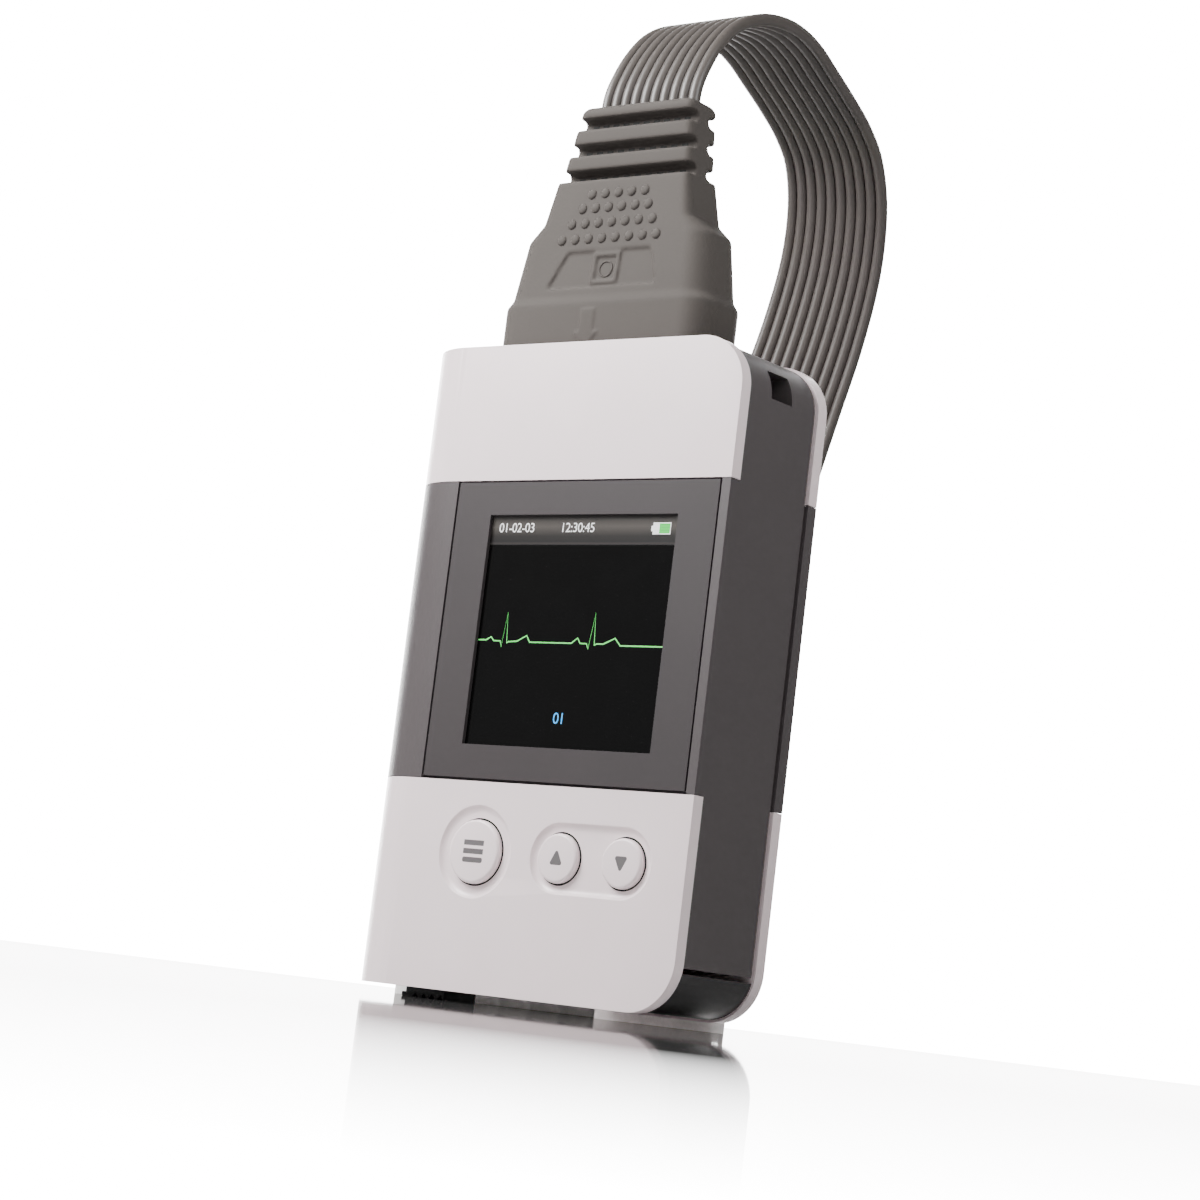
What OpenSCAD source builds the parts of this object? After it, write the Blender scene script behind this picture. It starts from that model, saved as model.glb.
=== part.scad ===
// Pocket heart-rhythm recorder with its ten-wire patient cable plugged in at the top.
// X runs to the right, Y to the back, Z up. The recorder stands centred on the origin, on its door latch.

/* [Case] */
// Width of the case
body_w = 65.3; // [63:0.1:72]
// Depth of the case, front face to rear face
body_d = 22.5; // [22.2:0.1:24]
// Height of the case
body_h = 100; // [98:1:110]
// Radius of the case's right-hand corners
corner_r = 8; // [6:0.5:9]
// Thickness of the outer covers
cover_t = 2.25; // [2:0.05:2.4]
// How far the covers stand proud of the frame at the side
cover_lip = 0.2; // [0.1:0.05:0.4]
// How far the covers stand proud of the frame at the top and bottom
end_lip = 0.4; // [0.2:0.1:0.8]
// Wall thickness of the middle frame
frame_wall = 1.6; // [1.2:0.1:2]
// Width of the shadow groove before the rear covers
groove_w = 0.7; // [0.4:0.1:1]
// Depth of the shadow groove
groove_depth = 0.6; // [0.3:0.1:1]
// Lower edge of the grey band round the middle
band_bottom = 31.9; // [30:0.5:34]
// Upper edge of the grey band round the middle
band_top = 78.4; // [77:0.2:80]
// Seam between covers and band
seam = 0.1; // [0.05:0.05:0.2]

/* [Display] */
// Left edge of the display panel, from the case's left side
panel_x = 13.1; // [12.6:0.1:14]
// Width of the strip that stays between panel and right side
panel_strip = 1.55; // [1.4:0.05:2.2]
// Shadow gap round the display panel
panel_gap = 0.35; // [0.2:0.05:0.5]
// Thickness of the display panel
panel_t = 1.5; // [1.3:0.1:1.6]
// Width of the screen window
screen_w = 36; // [33:0.5:38]
// Height of the screen window
screen_h = 35.6; // [33:0.2:37]
// Height of the screen's centre above the case bottom
screen_z = 55.25; // [54:0.25:56]
// Depth of the glass below the panel's face
screen_recess = 0.65; // [0.4:0.05:0.8]
// Thickness of the glass
glass_t = 0.7; // [0.5:0.05:0.8]
// Thickness of the display module
lcd_t = 1.9; // [1.6:0.1:2.0]

/* [Buttons] */
// Height of the buttons' centres above the case bottom
button_z = 21.2; // [20:0.2:22]
// Down button's centre, from the case's right side
pair_end = 11.5; // [10.5:0.1:12]
// Distance from the menu button to the up button
menu_pitch = 16.1; // [15.5:0.1:17.5]
// Distance from the up button to the down button
pair_pitch = 12; // [11:0.25:12.5]
// Diameter of the menu button
menu_d = 9.7; // [9:0.1:10.6]
// Diameter of the up and down buttons
small_d = 7.4; // [7:0.1:8.2]
// Width of the dished ring round the buttons
dish_ring = 2.2; // [1.6:0.1:2.4]
// Width of the dished field's rim round the pair of round buttons
pair_ring = 1.6; // [1.4:0.1:2]
// Width of the slope round the dished fields
dish_slope = 0.8; // [0.6:0.1:1.1]
// Depth of the dished ring
dish_depth = 0.6; // [0.3:0.05:0.7]
// How far the buttons stand proud of the front face
button_proud = 0.4; // [0.2:0.05:0.6]
// How far a button travels
button_travel = 0.6; // [0.4:0.05:0.7]
// Gap round a button
button_gap = 0.25; // [0.15:0.05:0.3]
// Thickness of a button's retaining flange
flange_t = 0.8; // [0.6:0.05:0.9]
// Width of a button's retaining flange
flange_w = 0.9; // [0.7:0.05:1]

/* [Battery door] */
// Height of the battery door's upper edge above the case bottom
door_top = 6.4; // [6:0.1:6.8]
// Gap above the battery door
door_gap = 0.8; // [0.75:0.05:1]
// Left end of the battery door, from the case's left side
door_x = 10.8; // [10.6:0.1:11.5]
// Wall thickness of the battery door
door_wall = 1.6; // [1.4:0.1:1.8]
// Radius of the door's hinge barrel
barrel_r = 1; // [0.95:0.05:1.1]
// Radius of the hinge pin
pin_r = 0.5; // [0.4:0.05:0.5]
// Clearance of the hinge pin in its bores
pin_play = 0.05; // [0.03:0.01:0.08]
// Clearance between the door and what stands beside it
door_play = 0.15; // [0.1:0.05:0.25]
// How far the latch slider reaches past the door's left end
latch_over = 2.6; // [2.2:0.1:2.7]
// Width of the latch slider, front to back
latch_w = 7.5; // [7:0.1:9]
// Height of the latch slider below the case, on which the recorder stands
foot_h = 1.5; // [1.2:0.1:1.8]
// How far the latch slides
latch_travel = 2.5; // [2:0.1:3]
// Pitch of the latch's finger ridges
ridge_pitch = 1.7; // [1.5:0.1:2]

/* [Inside] */
// Thickness of the main board
board_t = 1; // [0.8:0.1:1.2]
// Distance from the front face to the board's front
board_y = 5.4; // [5.3:0.05:5.6]
// Battery cell diameter
cell_d = 10.5; // [10:0.1:10.5]
// Battery cell length
cell_len = 44.5; // [43:0.5:45]
// Height of the cell's lower end above the case bottom
cell_z = 9.4; // [9.2:0.1:10]
// Clearance round the battery cell
cell_play = 0.35; // [0.2:0.05:0.5]
// Screw shank radius
screw_r = 0.8; // [0.7:0.05:0.9]
// Screw head radius
head_r = 1.7; // [1.5:0.1:1.8]
// Clearance of a screw shank in its hole
screw_play = 0.05; // [0.03:0.01:0.1]
// Side of the sheet cover over the processor
shield_side = 14; // [12:0.5:14.5]
// Diameter of the buzzer
buzzer_d = 9; // [8:0.5:9.5]
// Diameter of the backup cell
backup_d = 9.6; // [9:0.2:10]
// Gap kept between parts inside the case
part_gap = 1; // [0.6:0.1:1.2]

/* [Lanyard slot] */
// Width of the lanyard slot, front to back
slot_w = 5.4; // [5:0.1:6]
// Height of the lanyard slot
slot_h = 4.3; // [4.2:0.1:4.8]
// Distance from the case's top to the slot's upper edge
slot_end = 3.7; // [3.2:0.1:4.2]

/* [Plug] */
// How far the plug sits to the left of the case's middle
plug_shift = 0.6; // [0:0.1:1]
// Width of the plug's collar
collar_w = 40.5; // [36:0.5:41]
// Depth of the plug's collar, front to back
collar_d = 12.6; // [11:0.2:13.4]
// Height of the plug's collar
collar_h = 7.7; // [7:0.1:8.5]
// Height of the plug's moulded body above its collar
hood_h = 20.6; // [19:0.2:22]
// Height of the grooves in the strain relief
groove_h = 1.85; // [1.5:0.05:2.1]
// Distance from groove to groove in the strain relief
rib_pitch = 4.3; // [3.9:0.05:4.4]
// How far the strain relief leans to the right at its top
relief_lean = 0.8; // [0:0.1:1.5]
// Depth of the plug's tongue, front to back
tongue_d = 5.6; // [5:0.1:6]
// How far the plug reaches into its socket
plug_depth = 8.5; // [7:0.5:9]
// Clearance between the plug's tongue and its socket
plug_play = 0.2; // [0.12:0.02:0.3]

/* [Cable] */
// Number of bonded wires
wires = 10; // [8:2:10]
// Diameter of one wire
wire_d = 1.9; // [1.8:0.05:2]
// Number of turns in each half of the put-away roll
roll_turns = 3; // [2:0.5:3]
// Distance from turn to turn in the roll
roll_pitch = 2.9; // [2.6:0.1:3.2]
// Radius at which the roll's inner bend begins
roll_core = 8; // [7.9:0.1:8.2]
// Diameter of the sleeve at the end of a lead
sleeve_d = 4.8; // [4.4:0.1:5.2]
// Length of the sleeve at the end of a lead
sleeve_len = 22; // [18:1:26]

/* [Hidden] */
$fn = 48;
eps = 0.01;

// Frame of reference: from the case's left, front, bottom corner to the part's own origin
y_face = button_proud - (body_d + button_proud) / 2;
spine_r = body_d / 2;
mid_y = body_d / 2;
back_y = body_d - cover_t;
frame_x = body_w - cover_lip;
panel_end = body_w - panel_strip;
panel_w = panel_end - panel_x;
screen_x = panel_x + (panel_w - screen_w) / 2;
down_x = body_w - pair_end;
up_x = down_x - pair_pitch;
menu_x = up_x - menu_pitch;

// Display stack, front to back
panel_sink = 0.05;
glass_y = panel_sink + screen_recess;
glass_rim = 1.2;
pocket_y = panel_sink + panel_t;
band_floor = 0.8;
lcd_y = pocket_y + band_floor;
lcd_w = screen_w + 3;
lcd_h = screen_h + 2;
lcd_ledge = 0.6;
cushion_rim = 1.4;

// Board
board_x = 7.2;
board_end = body_w - 2.1;
board_bottom = 10.4;
board_top = body_h - 4.6;
board_back = board_y + board_t;
board_hole_r = screw_r + 0.2;
board_screw_x = [9.4, panel_end - 2.6];
board_screw_z = [band_bottom + 2.2, band_top - 2.2];
board_boss_r = 1.9;

// Buttons and switches
button_back = cover_t + flange_t;
switch_y = board_y - 1.6;
plunger_r = 1.2;
plunger_play = 0.1;
switch_size = 5.2;

// Battery space
cell_x = body_w / 2;
cell_y = board_back + 0.5 + cell_d / 2 + cell_play;
tray_wall = 0.9;
tray_r = cell_d / 2 + cell_play + tray_wall;
nub_len = 1;
nub_r = 2.6;
contact_t = 0.4;
shelf_z = 7.6;
shelf_t = 1.2;
tray_top = cell_z + cell_len + 3;
shield_x = board_screw_x[0] + head_r + part_gap;
buzzer_at = [board_end - buzzer_d - part_gap, tray_top - buzzer_d - 3 * part_gap];
backup_at = [board_x + backup_d / 2 + 4 * part_gap, tray_top - backup_d - 3 * part_gap];

// Battery door
hinge_x = frame_x - 1.6;
hinge_z = door_top - barrel_r;
door_front = cover_t + door_play;
door_rear = back_y - door_play;
door_r = corner_r - cover_lip;
spring_turns = 3.5;
spring_wire = 0.7;
spring_r = 3.2;
contact_z = end_lip + door_wall;
spring_z = contact_z + contact_t;
keeper_z = end_lip + door_wall + 0.1;
keeper_t = 1;
ridge_cut = 1.15;
neck_w = 4;
neck_play = 0.15;
bolt_len = 2.2;
bolt_w = 5;
latch_x = door_x - latch_over;
latch_end = latch_x + 2.2 + 3 * ridge_pitch + ridge_cut + 0.15;
neck_x = door_x + 0.75;
neck_len = latch_end - 0.6 - neck_x - neck_play;
plate_half = spring_r + 1.2;

// Memory card and its socket
card_w = 11;
card_len = 15;
card_t = 0.8;
card_x = cell_x + 9.4;
card_z = shelf_z + 0.2;

// Lanyard corner
slot_z = body_h - slot_end - slot_h;
slot_len = 8;
slot_bar = 4.4;
slot_y = 8;
corner_x = body_w - slot_len - slot_bar - 1.8;
corner_z = slot_z - 2.2;

// Screws in the rear, clear of the shelf, the card socket, the top wall and the lanyard corner
case_boss_r = 2.3;
boss_front = board_back + 0.6;
head_t = 1.1;
case_screw_at = [
    [spine_r, shelf_z + shelf_t + case_boss_r + 2 * part_gap],
    [frame_x - frame_wall - case_boss_r - 2 * part_gap, band_bottom - head_r - 2 * part_gap],
    [spine_r, body_h - end_lip - frame_wall - case_boss_r - 2 * part_gap],
    [corner_x - case_boss_r - 0.3, band_top + head_r + 2 * part_gap]];

// Plug and socket
plug_x = body_w / 2 - plug_shift;
socket_wall = 1.1;
boss_clear = 0.25;
tongue_w = 2 * (case_screw_at[3][0] - case_boss_r - boss_clear - socket_wall - plug_x);
socket_depth = plug_depth + 0.6;
pin_rows = 2;
pin_cols = wires;
pin_pitch = (tongue_w - 5.2) / (pin_cols - 1);
row_pitch = 2.5;
contact_r = 0.3;
contact_play = 0.1;
pin_tail = 2.6;
pin_reach = plug_depth - 2.5;
socket_floor = body_h - end_lip - socket_depth;
socket_foot = 2.4;
ribs = 3;
collar_r = 4.4;
relief_d = 7.2;
relief_cut = 2.3;
hood_foot = collar_h + 1.2;
hood_z = [hood_foot, collar_h + 0.53 * hood_h, collar_h + 0.66 * hood_h, collar_h + hood_h];
hood_w = [collar_w - 1.6, collar_w - 4.5, collar_w - 11.5, collar_w - 14.7];
hood_lean = (collar_d - 4.4 - (collar_d - 1)) / (hood_z[3] - hood_z[0]);
hood_d = [for (z = hood_z) collar_d - 1 + hood_lean * (z - hood_z[0])];
hood_r = [4.2, 3.6, 1.6, 1];
relief_w = [hood_w[3] - 0.2, hood_w[3] - 3.8];
relief_h = collar_h + hood_h + ribs * rib_pitch - 0.6;
plate_sink = 0.4;
arrow_rise = 0.2;
arrow_shift = 1.4;

// The put-away roll: it winds in, turns round at its core and winds out again
roll_turn = 35;
roll_lift = 1.7;
roll_r = roll_core + roll_turns * 2 * roll_pitch;
roll_low = roll_r + roll_pitch / 2;
roll_z = roll_lift + roll_low + wire_d / 2;
roll_steps = 24;

// Ribbon cable: its free route from the plug to the roll, as [x, y, z, turn of its width about Z]
ribbon_w = wires * wire_d;
route = [
    [0.25, 0, 140.7, 0], [0.25, 0.3, 143.3, 0], [0.25, 1.4, 146.3, 0], [0.25, 3.9, 150.8, 0], [0.25, 7.6, 155.1, 0],
    [0.25, 12.4, 158.3, 0], [0.25, 18.4, 160.4, 0], [0.2, 25, 161.1, 0], [0.1, 31, 160, 0], [-0.1, 37, 157.5, 0],
    [-0.3, 43, 154.8, 0], [-0.7, 49, 151.8, 1], [-1.5, 54.4, 147.8, 3], [-3, 59, 141, 7],
    [-5.2, 62, 131.5, 11], [-8.4, 63.4, 120, 16], [-11.8, 63.4, 108, 21], [-15, 62.9, 95, 26],
    [-17.8, 62.2, 81, 30], [-19.8, 61.6, 67, 33], [-21, 61.3, 53, 35], [-21.5, 61.2, 40, 35],
    [-21.6, 61.2, roll_z - foot_h, 35]];
route_step = 2;
roll_end = route[len(route) - 1];
roll_along = [-sin(roll_turn), cos(roll_turn)];
roll_across = [cos(roll_turn), sin(roll_turn)];
roll_at = [roll_end[0] - roll_r * roll_along[0], roll_end[1] - roll_r * roll_along[1]];
tail_run = 54;
tail_steps = 12;
sleeve_pitch = sleeve_d + 0.8;
tail_shift = -22;
tie_w = 5;
tie_sag = 0.6;
comb_w = 8;
comb_at = 6;
comb_wall = 1;
comb_play = 0.1;
tie_t = 0.8;
tie_play = 0.3;

module place() { translate([-body_w / 2, y_face, foot_h]) children(); }
// A slab from depth y0 to depth y1 whose outline lies in X and Z
module slab(y0, y1) { translate([0, y1, 0]) rotate([90, 0, 0]) linear_extrude(y1 - y0) children(); }
module storey(z0, z1) { translate([0, 0, z0]) linear_extrude(z1 - z0) children(); }
module box(low, high) { translate(low) cube(high - low); }
module rod(x, y0, y1, z, r) { translate([x, y1, z]) rotate([90, 0, 0]) cylinder(r = r, h = y1 - y0); }

// The case seen from the front, drawn in by side and end
module front_outline(side = 0, end = 0, r = corner_r) {
    right = body_w - side;
    translate([0, end]) square([right - r, body_h - 2 * end]);
    translate([0, end + r]) square([right, body_h - 2 * end - 2 * r]);
    for (z = [end + r, body_h - end - r]) translate([right - r, z]) circle(r);
}
// The case seen from above, with its full round spine at the left
module top_outline(in = 0, side = 0) {
    translate([spine_r, mid_y]) circle(spine_r - in);
    translate([spine_r, in]) square([body_w - side - spine_r, body_d - 2 * in]);
}
module case_solid(z0, z1, side = 0, end = 0, r = corner_r) {
    intersection() {
        slab(-1, body_d + 1) front_outline(side, end, r);
        storey(z0, z1) top_outline(0, side);
    }
}
module rounded(w, h, r) {
    translate([-w / 2 + r, -h / 2]) square([w - 2 * r, h]);
    translate([-w / 2, -h / 2 + r]) square([w, h - 2 * r]);
    for (x = [-1, 1], y = [-1, 1]) translate([x * (w / 2 - r), y * (h / 2 - r)]) circle(r);
}
module screw_holes(y0, y1, r) {
    for (at = case_screw_at) rod(at[0], y0, y1, at[1], r);
}

// Covers: a plate with a half round wall that wraps the spine
module front_cover(z0, z1) {
    difference() {
        case_solid(z0, z1);
        storey(z0 - 1, z1 + 1) {
            translate([spine_r, mid_y]) circle(spine_r - cover_t);
            translate([spine_r, cover_t]) square([body_w, body_d]);
        }
        box([-1, mid_y - seam / 2, z0 - 1], [body_w + 1, body_d + 1, z1 + 1]);
    }
}
module rear_cover(z0, z1) {
    difference() {
        case_solid(z0, z1);
        storey(z0 - 1, z1 + 1) {
            translate([spine_r, mid_y]) circle(spine_r - cover_t);
            translate([spine_r, -1]) square([body_w, back_y + 1]);
        }
        box([-1, -1, z0 - 1], [body_w + 1, mid_y + seam / 2, z1 + 1]);
        screw_holes(back_y - 1, body_d + 1, screw_r + screw_play);
        screw_holes(body_d - head_t - 0.1, body_d + 1, head_r + 0.15);
    }
}
module pin_hole() { rod(hinge_x, -1, body_d + 1, hinge_z, pin_r + pin_play); }
module pin_socket(y0, y1) { rod(hinge_x, y0, y1, hinge_z, pin_r); }

// A dished field with a sloping rim, from x0 to x1
module dish(x0, x1, r) {
    for (end = [[x0, 90], [x1, -90]])
        translate([end[0], 0, button_z]) rotate([-90, 0, 0]) rotate([0, 0, end[1]]) rotate_extrude(angle = 180)
            polygon([[0, -1], [r, -1], [r, 0], [r - dish_slope, dish_depth], [0, dish_depth]]);
    if (x1 > x0) translate([x0, 0, button_z]) rotate([90, 0, 90]) linear_extrude(x1 - x0)
        polygon([[-1, -r], [0, -r], [dish_depth, dish_slope - r], [dish_depth, r - dish_slope], [0, r], [-1, r]]);
}
module front_upper_cover() {
    color([0.87, 0.86, 0.86]) front_cover(band_top + seam / 2, body_h);
}
module front_lower_cover() {
    color([0.85, 0.84, 0.84]) difference() {
        front_cover(0, band_bottom - seam / 2);
        dish(menu_x, menu_x, menu_d / 2 + dish_ring);
        dish(up_x, down_x, small_d / 2 + pair_ring);
        rod(menu_x, -1, cover_t + 1, button_z, menu_d / 2 + button_gap);
        for (x = [up_x, down_x]) rod(x, -1, cover_t + 1, button_z, small_d / 2 + button_gap);
        pin_socket(cover_t - 1.05, cover_t + 1);
    }
}
module rear_upper_cover() {
    color([0.85, 0.84, 0.84]) rear_cover(band_top + seam / 2, body_h);
}
module rear_lower_cover() {
    color([0.85, 0.84, 0.84]) difference() {
        rear_cover(0, band_bottom - seam / 2);
        pin_socket(back_y - 1, back_y + 1.05);
    }
}
module rear_band() {
    color([0.3, 0.29, 0.29]) intersection() {
        case_solid(band_bottom + seam / 2, band_top - seam / 2);
        box([-1, back_y, 0], [body_w + 1, body_d, body_h]);
    }
}

// Middle frame: a ring between the covers that comes out flush as the grey band
module frame_ring(y0, y1, side, end, r) {
    difference() {
        intersection() {
            slab(y0, y1) front_outline(side, end, r);
            storey(0, body_h) {
                translate([spine_r, mid_y]) circle(spine_r - cover_t - seam);
                translate([spine_r, cover_t]) square([body_w - side - spine_r, back_y - cover_t]);
            }
        }
        intersection() {
            slab(y0 - 1, y1 + 1)
                front_outline(side + frame_wall, end + frame_wall, r - frame_wall);
            storey(0, body_h) {
                translate([spine_r, mid_y]) circle(spine_r - cover_t - seam - frame_wall);
                translate([spine_r, -1]) square([body_w, body_d + 2]);
            }
        }
    }
}
module frame_band() {
    difference() {
        intersection() {
            case_solid(band_bottom + seam / 2, band_top - seam / 2);
            box([-1, -1, 0], [body_w + 1, back_y, body_h]);
        }
        box([frame_x, cover_t, 0], [body_w + 1, body_d, body_h]);
        storey(band_bottom - 1, band_top + 1) {
            translate([spine_r, mid_y]) circle(spine_r - cover_t - seam - frame_wall);
            translate([spine_r, pocket_y + band_floor]) square([frame_x - frame_wall - spine_r, body_d]);
        }
        box([panel_x, -1, band_bottom - 1], [panel_end, pocket_y, band_top + 1]);
        box([screen_x + (screen_w - lcd_w) / 2 + lcd_ledge, -1, screen_z - lcd_h / 2 + lcd_ledge],
            [screen_x + (screen_w + lcd_w) / 2 - lcd_ledge, cover_t + 2, screen_z + lcd_h / 2 - lcd_ledge]);
    }
}
module frame_shelf() {
    difference() {
        intersection() {
            box([door_x - 1, cover_t + 0.1, shelf_z], [body_w, back_y - 0.1, shelf_z + shelf_t]);
            slab(-1, body_d + 1) front_outline(cover_lip + 0.1, 0, corner_r - cover_lip - 0.1);
        }
        storey(0, body_h) translate([cell_x, cell_y]) circle(cell_d / 2 + cell_play);
        box([card_x - 0.4, board_back - 0.3, 0], [card_x + card_w + 0.4, board_back + 2.6, body_h]);
    }
}
module spine_foot() {
    // Solid foot at the left of the door, with the open notch that the latch bolt rests in
    difference() {
        intersection() {
            box([0, cover_t + seam, end_lip], [door_x - door_play, back_y - seam, shelf_z + shelf_t]);
            storey(0, body_h) translate([spine_r, mid_y]) circle(spine_r - cover_t - seam);
        }
        box([door_x - bolt_len - 0.6, mid_y - bolt_w / 2 - 0.4, -1],
            [door_x + 1, mid_y + bolt_w / 2 + 0.4, keeper_z + keeper_t + 0.4]);
    }
}
module socket_opening() {
    translate([plug_x, mid_y, body_h - 4])
        linear_extrude(6) rounded(tongue_w + 2 * socket_wall + 0.5, tongue_d + 2 * socket_wall + 0.5, 1);
}
module mid_frame() {
    color([0.33, 0.32, 0.32]) difference() {
        union() {
            frame_ring(cover_t, back_y - groove_w, cover_lip, end_lip, corner_r - cover_lip);
            frame_ring(back_y - groove_w - eps, back_y, cover_lip + groove_depth, end_lip + groove_depth,
                corner_r - cover_lip - groove_depth);
            frame_band();
            frame_shelf();
            spine_foot();
            for (x = board_screw_x, z = board_screw_z) rod(x, pocket_y, board_y, z, board_boss_r);
            case_bosses();
        }
        door_space();
        box([corner_x, -1, corner_z], [body_w + 1, body_d + 1, body_h + 1]);
        socket_opening();
        for (x = board_screw_x, z = board_screw_z) rod(x, pocket_y + 0.4, board_y + 1, z, screw_r + screw_play);
        screw_holes(boss_front + 0.8, body_d + 1, screw_r + screw_play);
        side_groove();
    }
}
module case_bosses() {
    for (at = case_screw_at) {
        rod(at[0], boss_front, back_y, at[1], case_boss_r);
        boss_web(at);
    }
}
// A web that ties each screw boss to the nearest wall of the frame
module boss_web(at) {
    left = at[0] < body_w / 2;
    low = at[1] < body_h / 2;
    web = 1;
    if (left) box([cover_t + seam + 0.4, mid_y - web / 2, at[1] - web / 2], [at[0], mid_y + web / 2, at[1] + web / 2]);
    else if (low) box([at[0], boss_front, at[1] - web / 2], [frame_x - 0.4, back_y - 1, at[1] + web / 2]);
    else box([at[0] - web / 2, boss_front, at[1]], [at[0] + web / 2, back_y - 1, body_h - end_lip - 0.4]);
}
module side_groove() {
    // The groove before the rear covers also runs along the grey band's right side
    box([frame_x - groove_depth, back_y - groove_w, 0], [body_w + 1, back_y + eps, body_h]);
}
module door_space() {
    box([door_x - door_play, cover_t - 0.01, -1], [body_w + 1, back_y + 0.01, door_top + door_gap]);
}

// Top right corner block with the slot that a lanyard is threaded through
module lanyard_corner() {
    color([0.36, 0.35, 0.35]) difference() {
        intersection() {
            union() {
                slab(cover_t, back_y - groove_w) front_outline(cover_lip, end_lip, corner_r - cover_lip);
                slab(back_y - groove_w - eps, back_y)
                    front_outline(cover_lip + groove_depth, end_lip + groove_depth, corner_r - cover_lip - groove_depth);
            }
            box([corner_x, 0, corner_z], [body_w + 1, body_d, body_h + 1]);
        }
        box([body_w - slot_len, slot_y, slot_z], [body_w + 1, slot_y + slot_w, slot_z + slot_h]);
        box([body_w - slot_len - slot_bar, slot_y, slot_z],
            [body_w - slot_len + eps, slot_y + slot_w, body_h + 1]);
    }
}

// Display
module display_panel() {
    color([0.43, 0.42, 0.42]) difference() {
        box([panel_x + panel_gap, panel_sink, band_bottom + seam / 2 + panel_gap],
            [panel_end - panel_gap, panel_sink + panel_t, band_top - seam / 2 - panel_gap / 2]);
        box([screen_x, -1, screen_z - screen_h / 2], [screen_x + screen_w, 5, screen_z + screen_h / 2]);
        box([screen_x - glass_rim, glass_y, screen_z - screen_h / 2 - glass_rim],
            [screen_x + screen_w + glass_rim, 5, screen_z + screen_h / 2 + glass_rim]);
    }
}
module display_glass() {
    play = 0.1;
    color([0.08, 0.08, 0.09]) box(
        [screen_x - glass_rim + play, glass_y, screen_z - screen_h / 2 - glass_rim + play],
        [screen_x + screen_w + glass_rim - play, glass_y + glass_t, screen_z + screen_h / 2 + glass_rim - play]);
}
module display_cushion() {
    color([0.12, 0.12, 0.12]) difference() {
        box([screen_x - 0.2, glass_y + glass_t, screen_z - screen_h / 2 - 0.2],
            [screen_x + screen_w + 0.2, lcd_y, screen_z + screen_h / 2 + 0.2]);
        box([screen_x - 0.2 + cushion_rim, 0, screen_z - screen_h / 2 - 0.2 + cushion_rim],
            [screen_x + screen_w + 0.2 - cushion_rim, 9, screen_z + screen_h / 2 + 0.2 - cushion_rim]);
    }
}
module display_module() {
    color([0.2, 0.2, 0.22]) box([screen_x + (screen_w - lcd_w) / 2, lcd_y, screen_z - lcd_h / 2],
        [screen_x + (screen_w + lcd_w) / 2, lcd_y + lcd_t, screen_z + lcd_h / 2]);
}
module display_flex() {
    flex_t = 0.2;
    low = screen_z - lcd_h / 2 - 1.4;
    x0 = screen_x + screen_w / 2 - 6;
    x1 = screen_x + screen_w / 2 + 6;
    color([0.75, 0.5, 0.15]) {
        box([x0, lcd_y + lcd_t, low], [x1, lcd_y + lcd_t + flex_t, screen_z - lcd_h / 2 + 3]);
        box([x0, lcd_y + lcd_t, low - flex_t], [x1, board_y, low + eps]);
    }
}

// Board and what sits on it
module board_cut(r) { for (x = board_screw_x, z = board_screw_z) rod(x, 0, body_d, z, r); }
module main_board() {
    color([0.1, 0.35, 0.2]) difference() {
        box([board_x, board_y, board_bottom], [board_end, board_back, board_top]);
        board_cut(board_hole_r);
        box([corner_x - 0.4, 0, corner_z - 0.4], [body_w, body_d, body_h]);
        box([plug_x - tongue_w / 2 - socket_wall - 0.3, 0, socket_floor - 2.3],
            [plug_x + tongue_w / 2 + socket_wall + 0.3, body_d, body_h]);
    }
}
module board_screws() {
    color([0.75, 0.75, 0.77]) for (x = board_screw_x, z = board_screw_z) {
        rod(x, pocket_y + 0.8, board_back + eps, z, screw_r);
        rod(x, board_back, board_back + 0.9, z, head_r);
    }
}
module processor_shield() {
    low = tray_top + part_gap;
    color([0.78, 0.78, 0.8]) box([shield_x, board_back, low], [shield_x + shield_side, board_back + 1.8, low + shield_side]);
}
module buzzer() {
    color([0.1, 0.1, 0.1]) rod(buzzer_at[0], board_back, board_back + 2.4, buzzer_at[1], buzzer_d / 2);
}
module backup_cell() {
    color([0.8, 0.8, 0.82]) rod(backup_at[0], board_back, board_back + 2.1, backup_at[1], backup_d / 2);
}
module card_socket() {
    color([0.72, 0.72, 0.74]) difference() {
        box([card_x - 1.2, board_back, shelf_z + shelf_t + 0.3],
            [card_x + card_w + 1.2, board_back + card_t + 1, shelf_z + shelf_t + card_len]);
        box([card_x - 0.1, board_back + 0.4, 0], [card_x + card_w + 0.1, board_back + 0.6 + card_t,
            shelf_z + shelf_t + card_len - 0.6]);
    }
}
module memory_card() {
    color([0.12, 0.12, 0.14]) box([card_x, board_back + 0.4, card_z],
        [card_x + card_w, board_back + 0.4 + card_t, card_z + card_len]);
}
module tact_switches() {
    color([0.2, 0.2, 0.2]) for (x = [menu_x, up_x, down_x]) difference() {
        box([x - switch_size / 2, switch_y, button_z - switch_size / 2],
            [x + switch_size / 2, board_y, button_z + switch_size / 2]);
        rod(x, switch_y - 1, board_y - 0.2, button_z, plunger_r + plunger_play);
    }
}

// Buttons: the cap comes through the cover, the flange behind it keeps the button in
module button(x, d) {
    rod(x, -button_proud, cover_t + eps, button_z, d / 2);
    rod(x, cover_t, button_back, button_z, d / 2 + flange_w);
}
module plunger(x) {
    color([0.6, 0.2, 0.15]) rod(x, button_back, board_y - 0.25 - button_travel, button_z, plunger_r);
}
module menu_button() { color([0.86, 0.85, 0.85]) button(menu_x, menu_d); }
module up_button() { color([0.86, 0.85, 0.85]) button(up_x, small_d); }
module down_button() { color([0.86, 0.85, 0.85]) button(down_x, small_d); }
module menu_plunger() { plunger(menu_x); }
module up_plunger() { plunger(up_x); }
module down_plunger() { plunger(down_x); }

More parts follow.
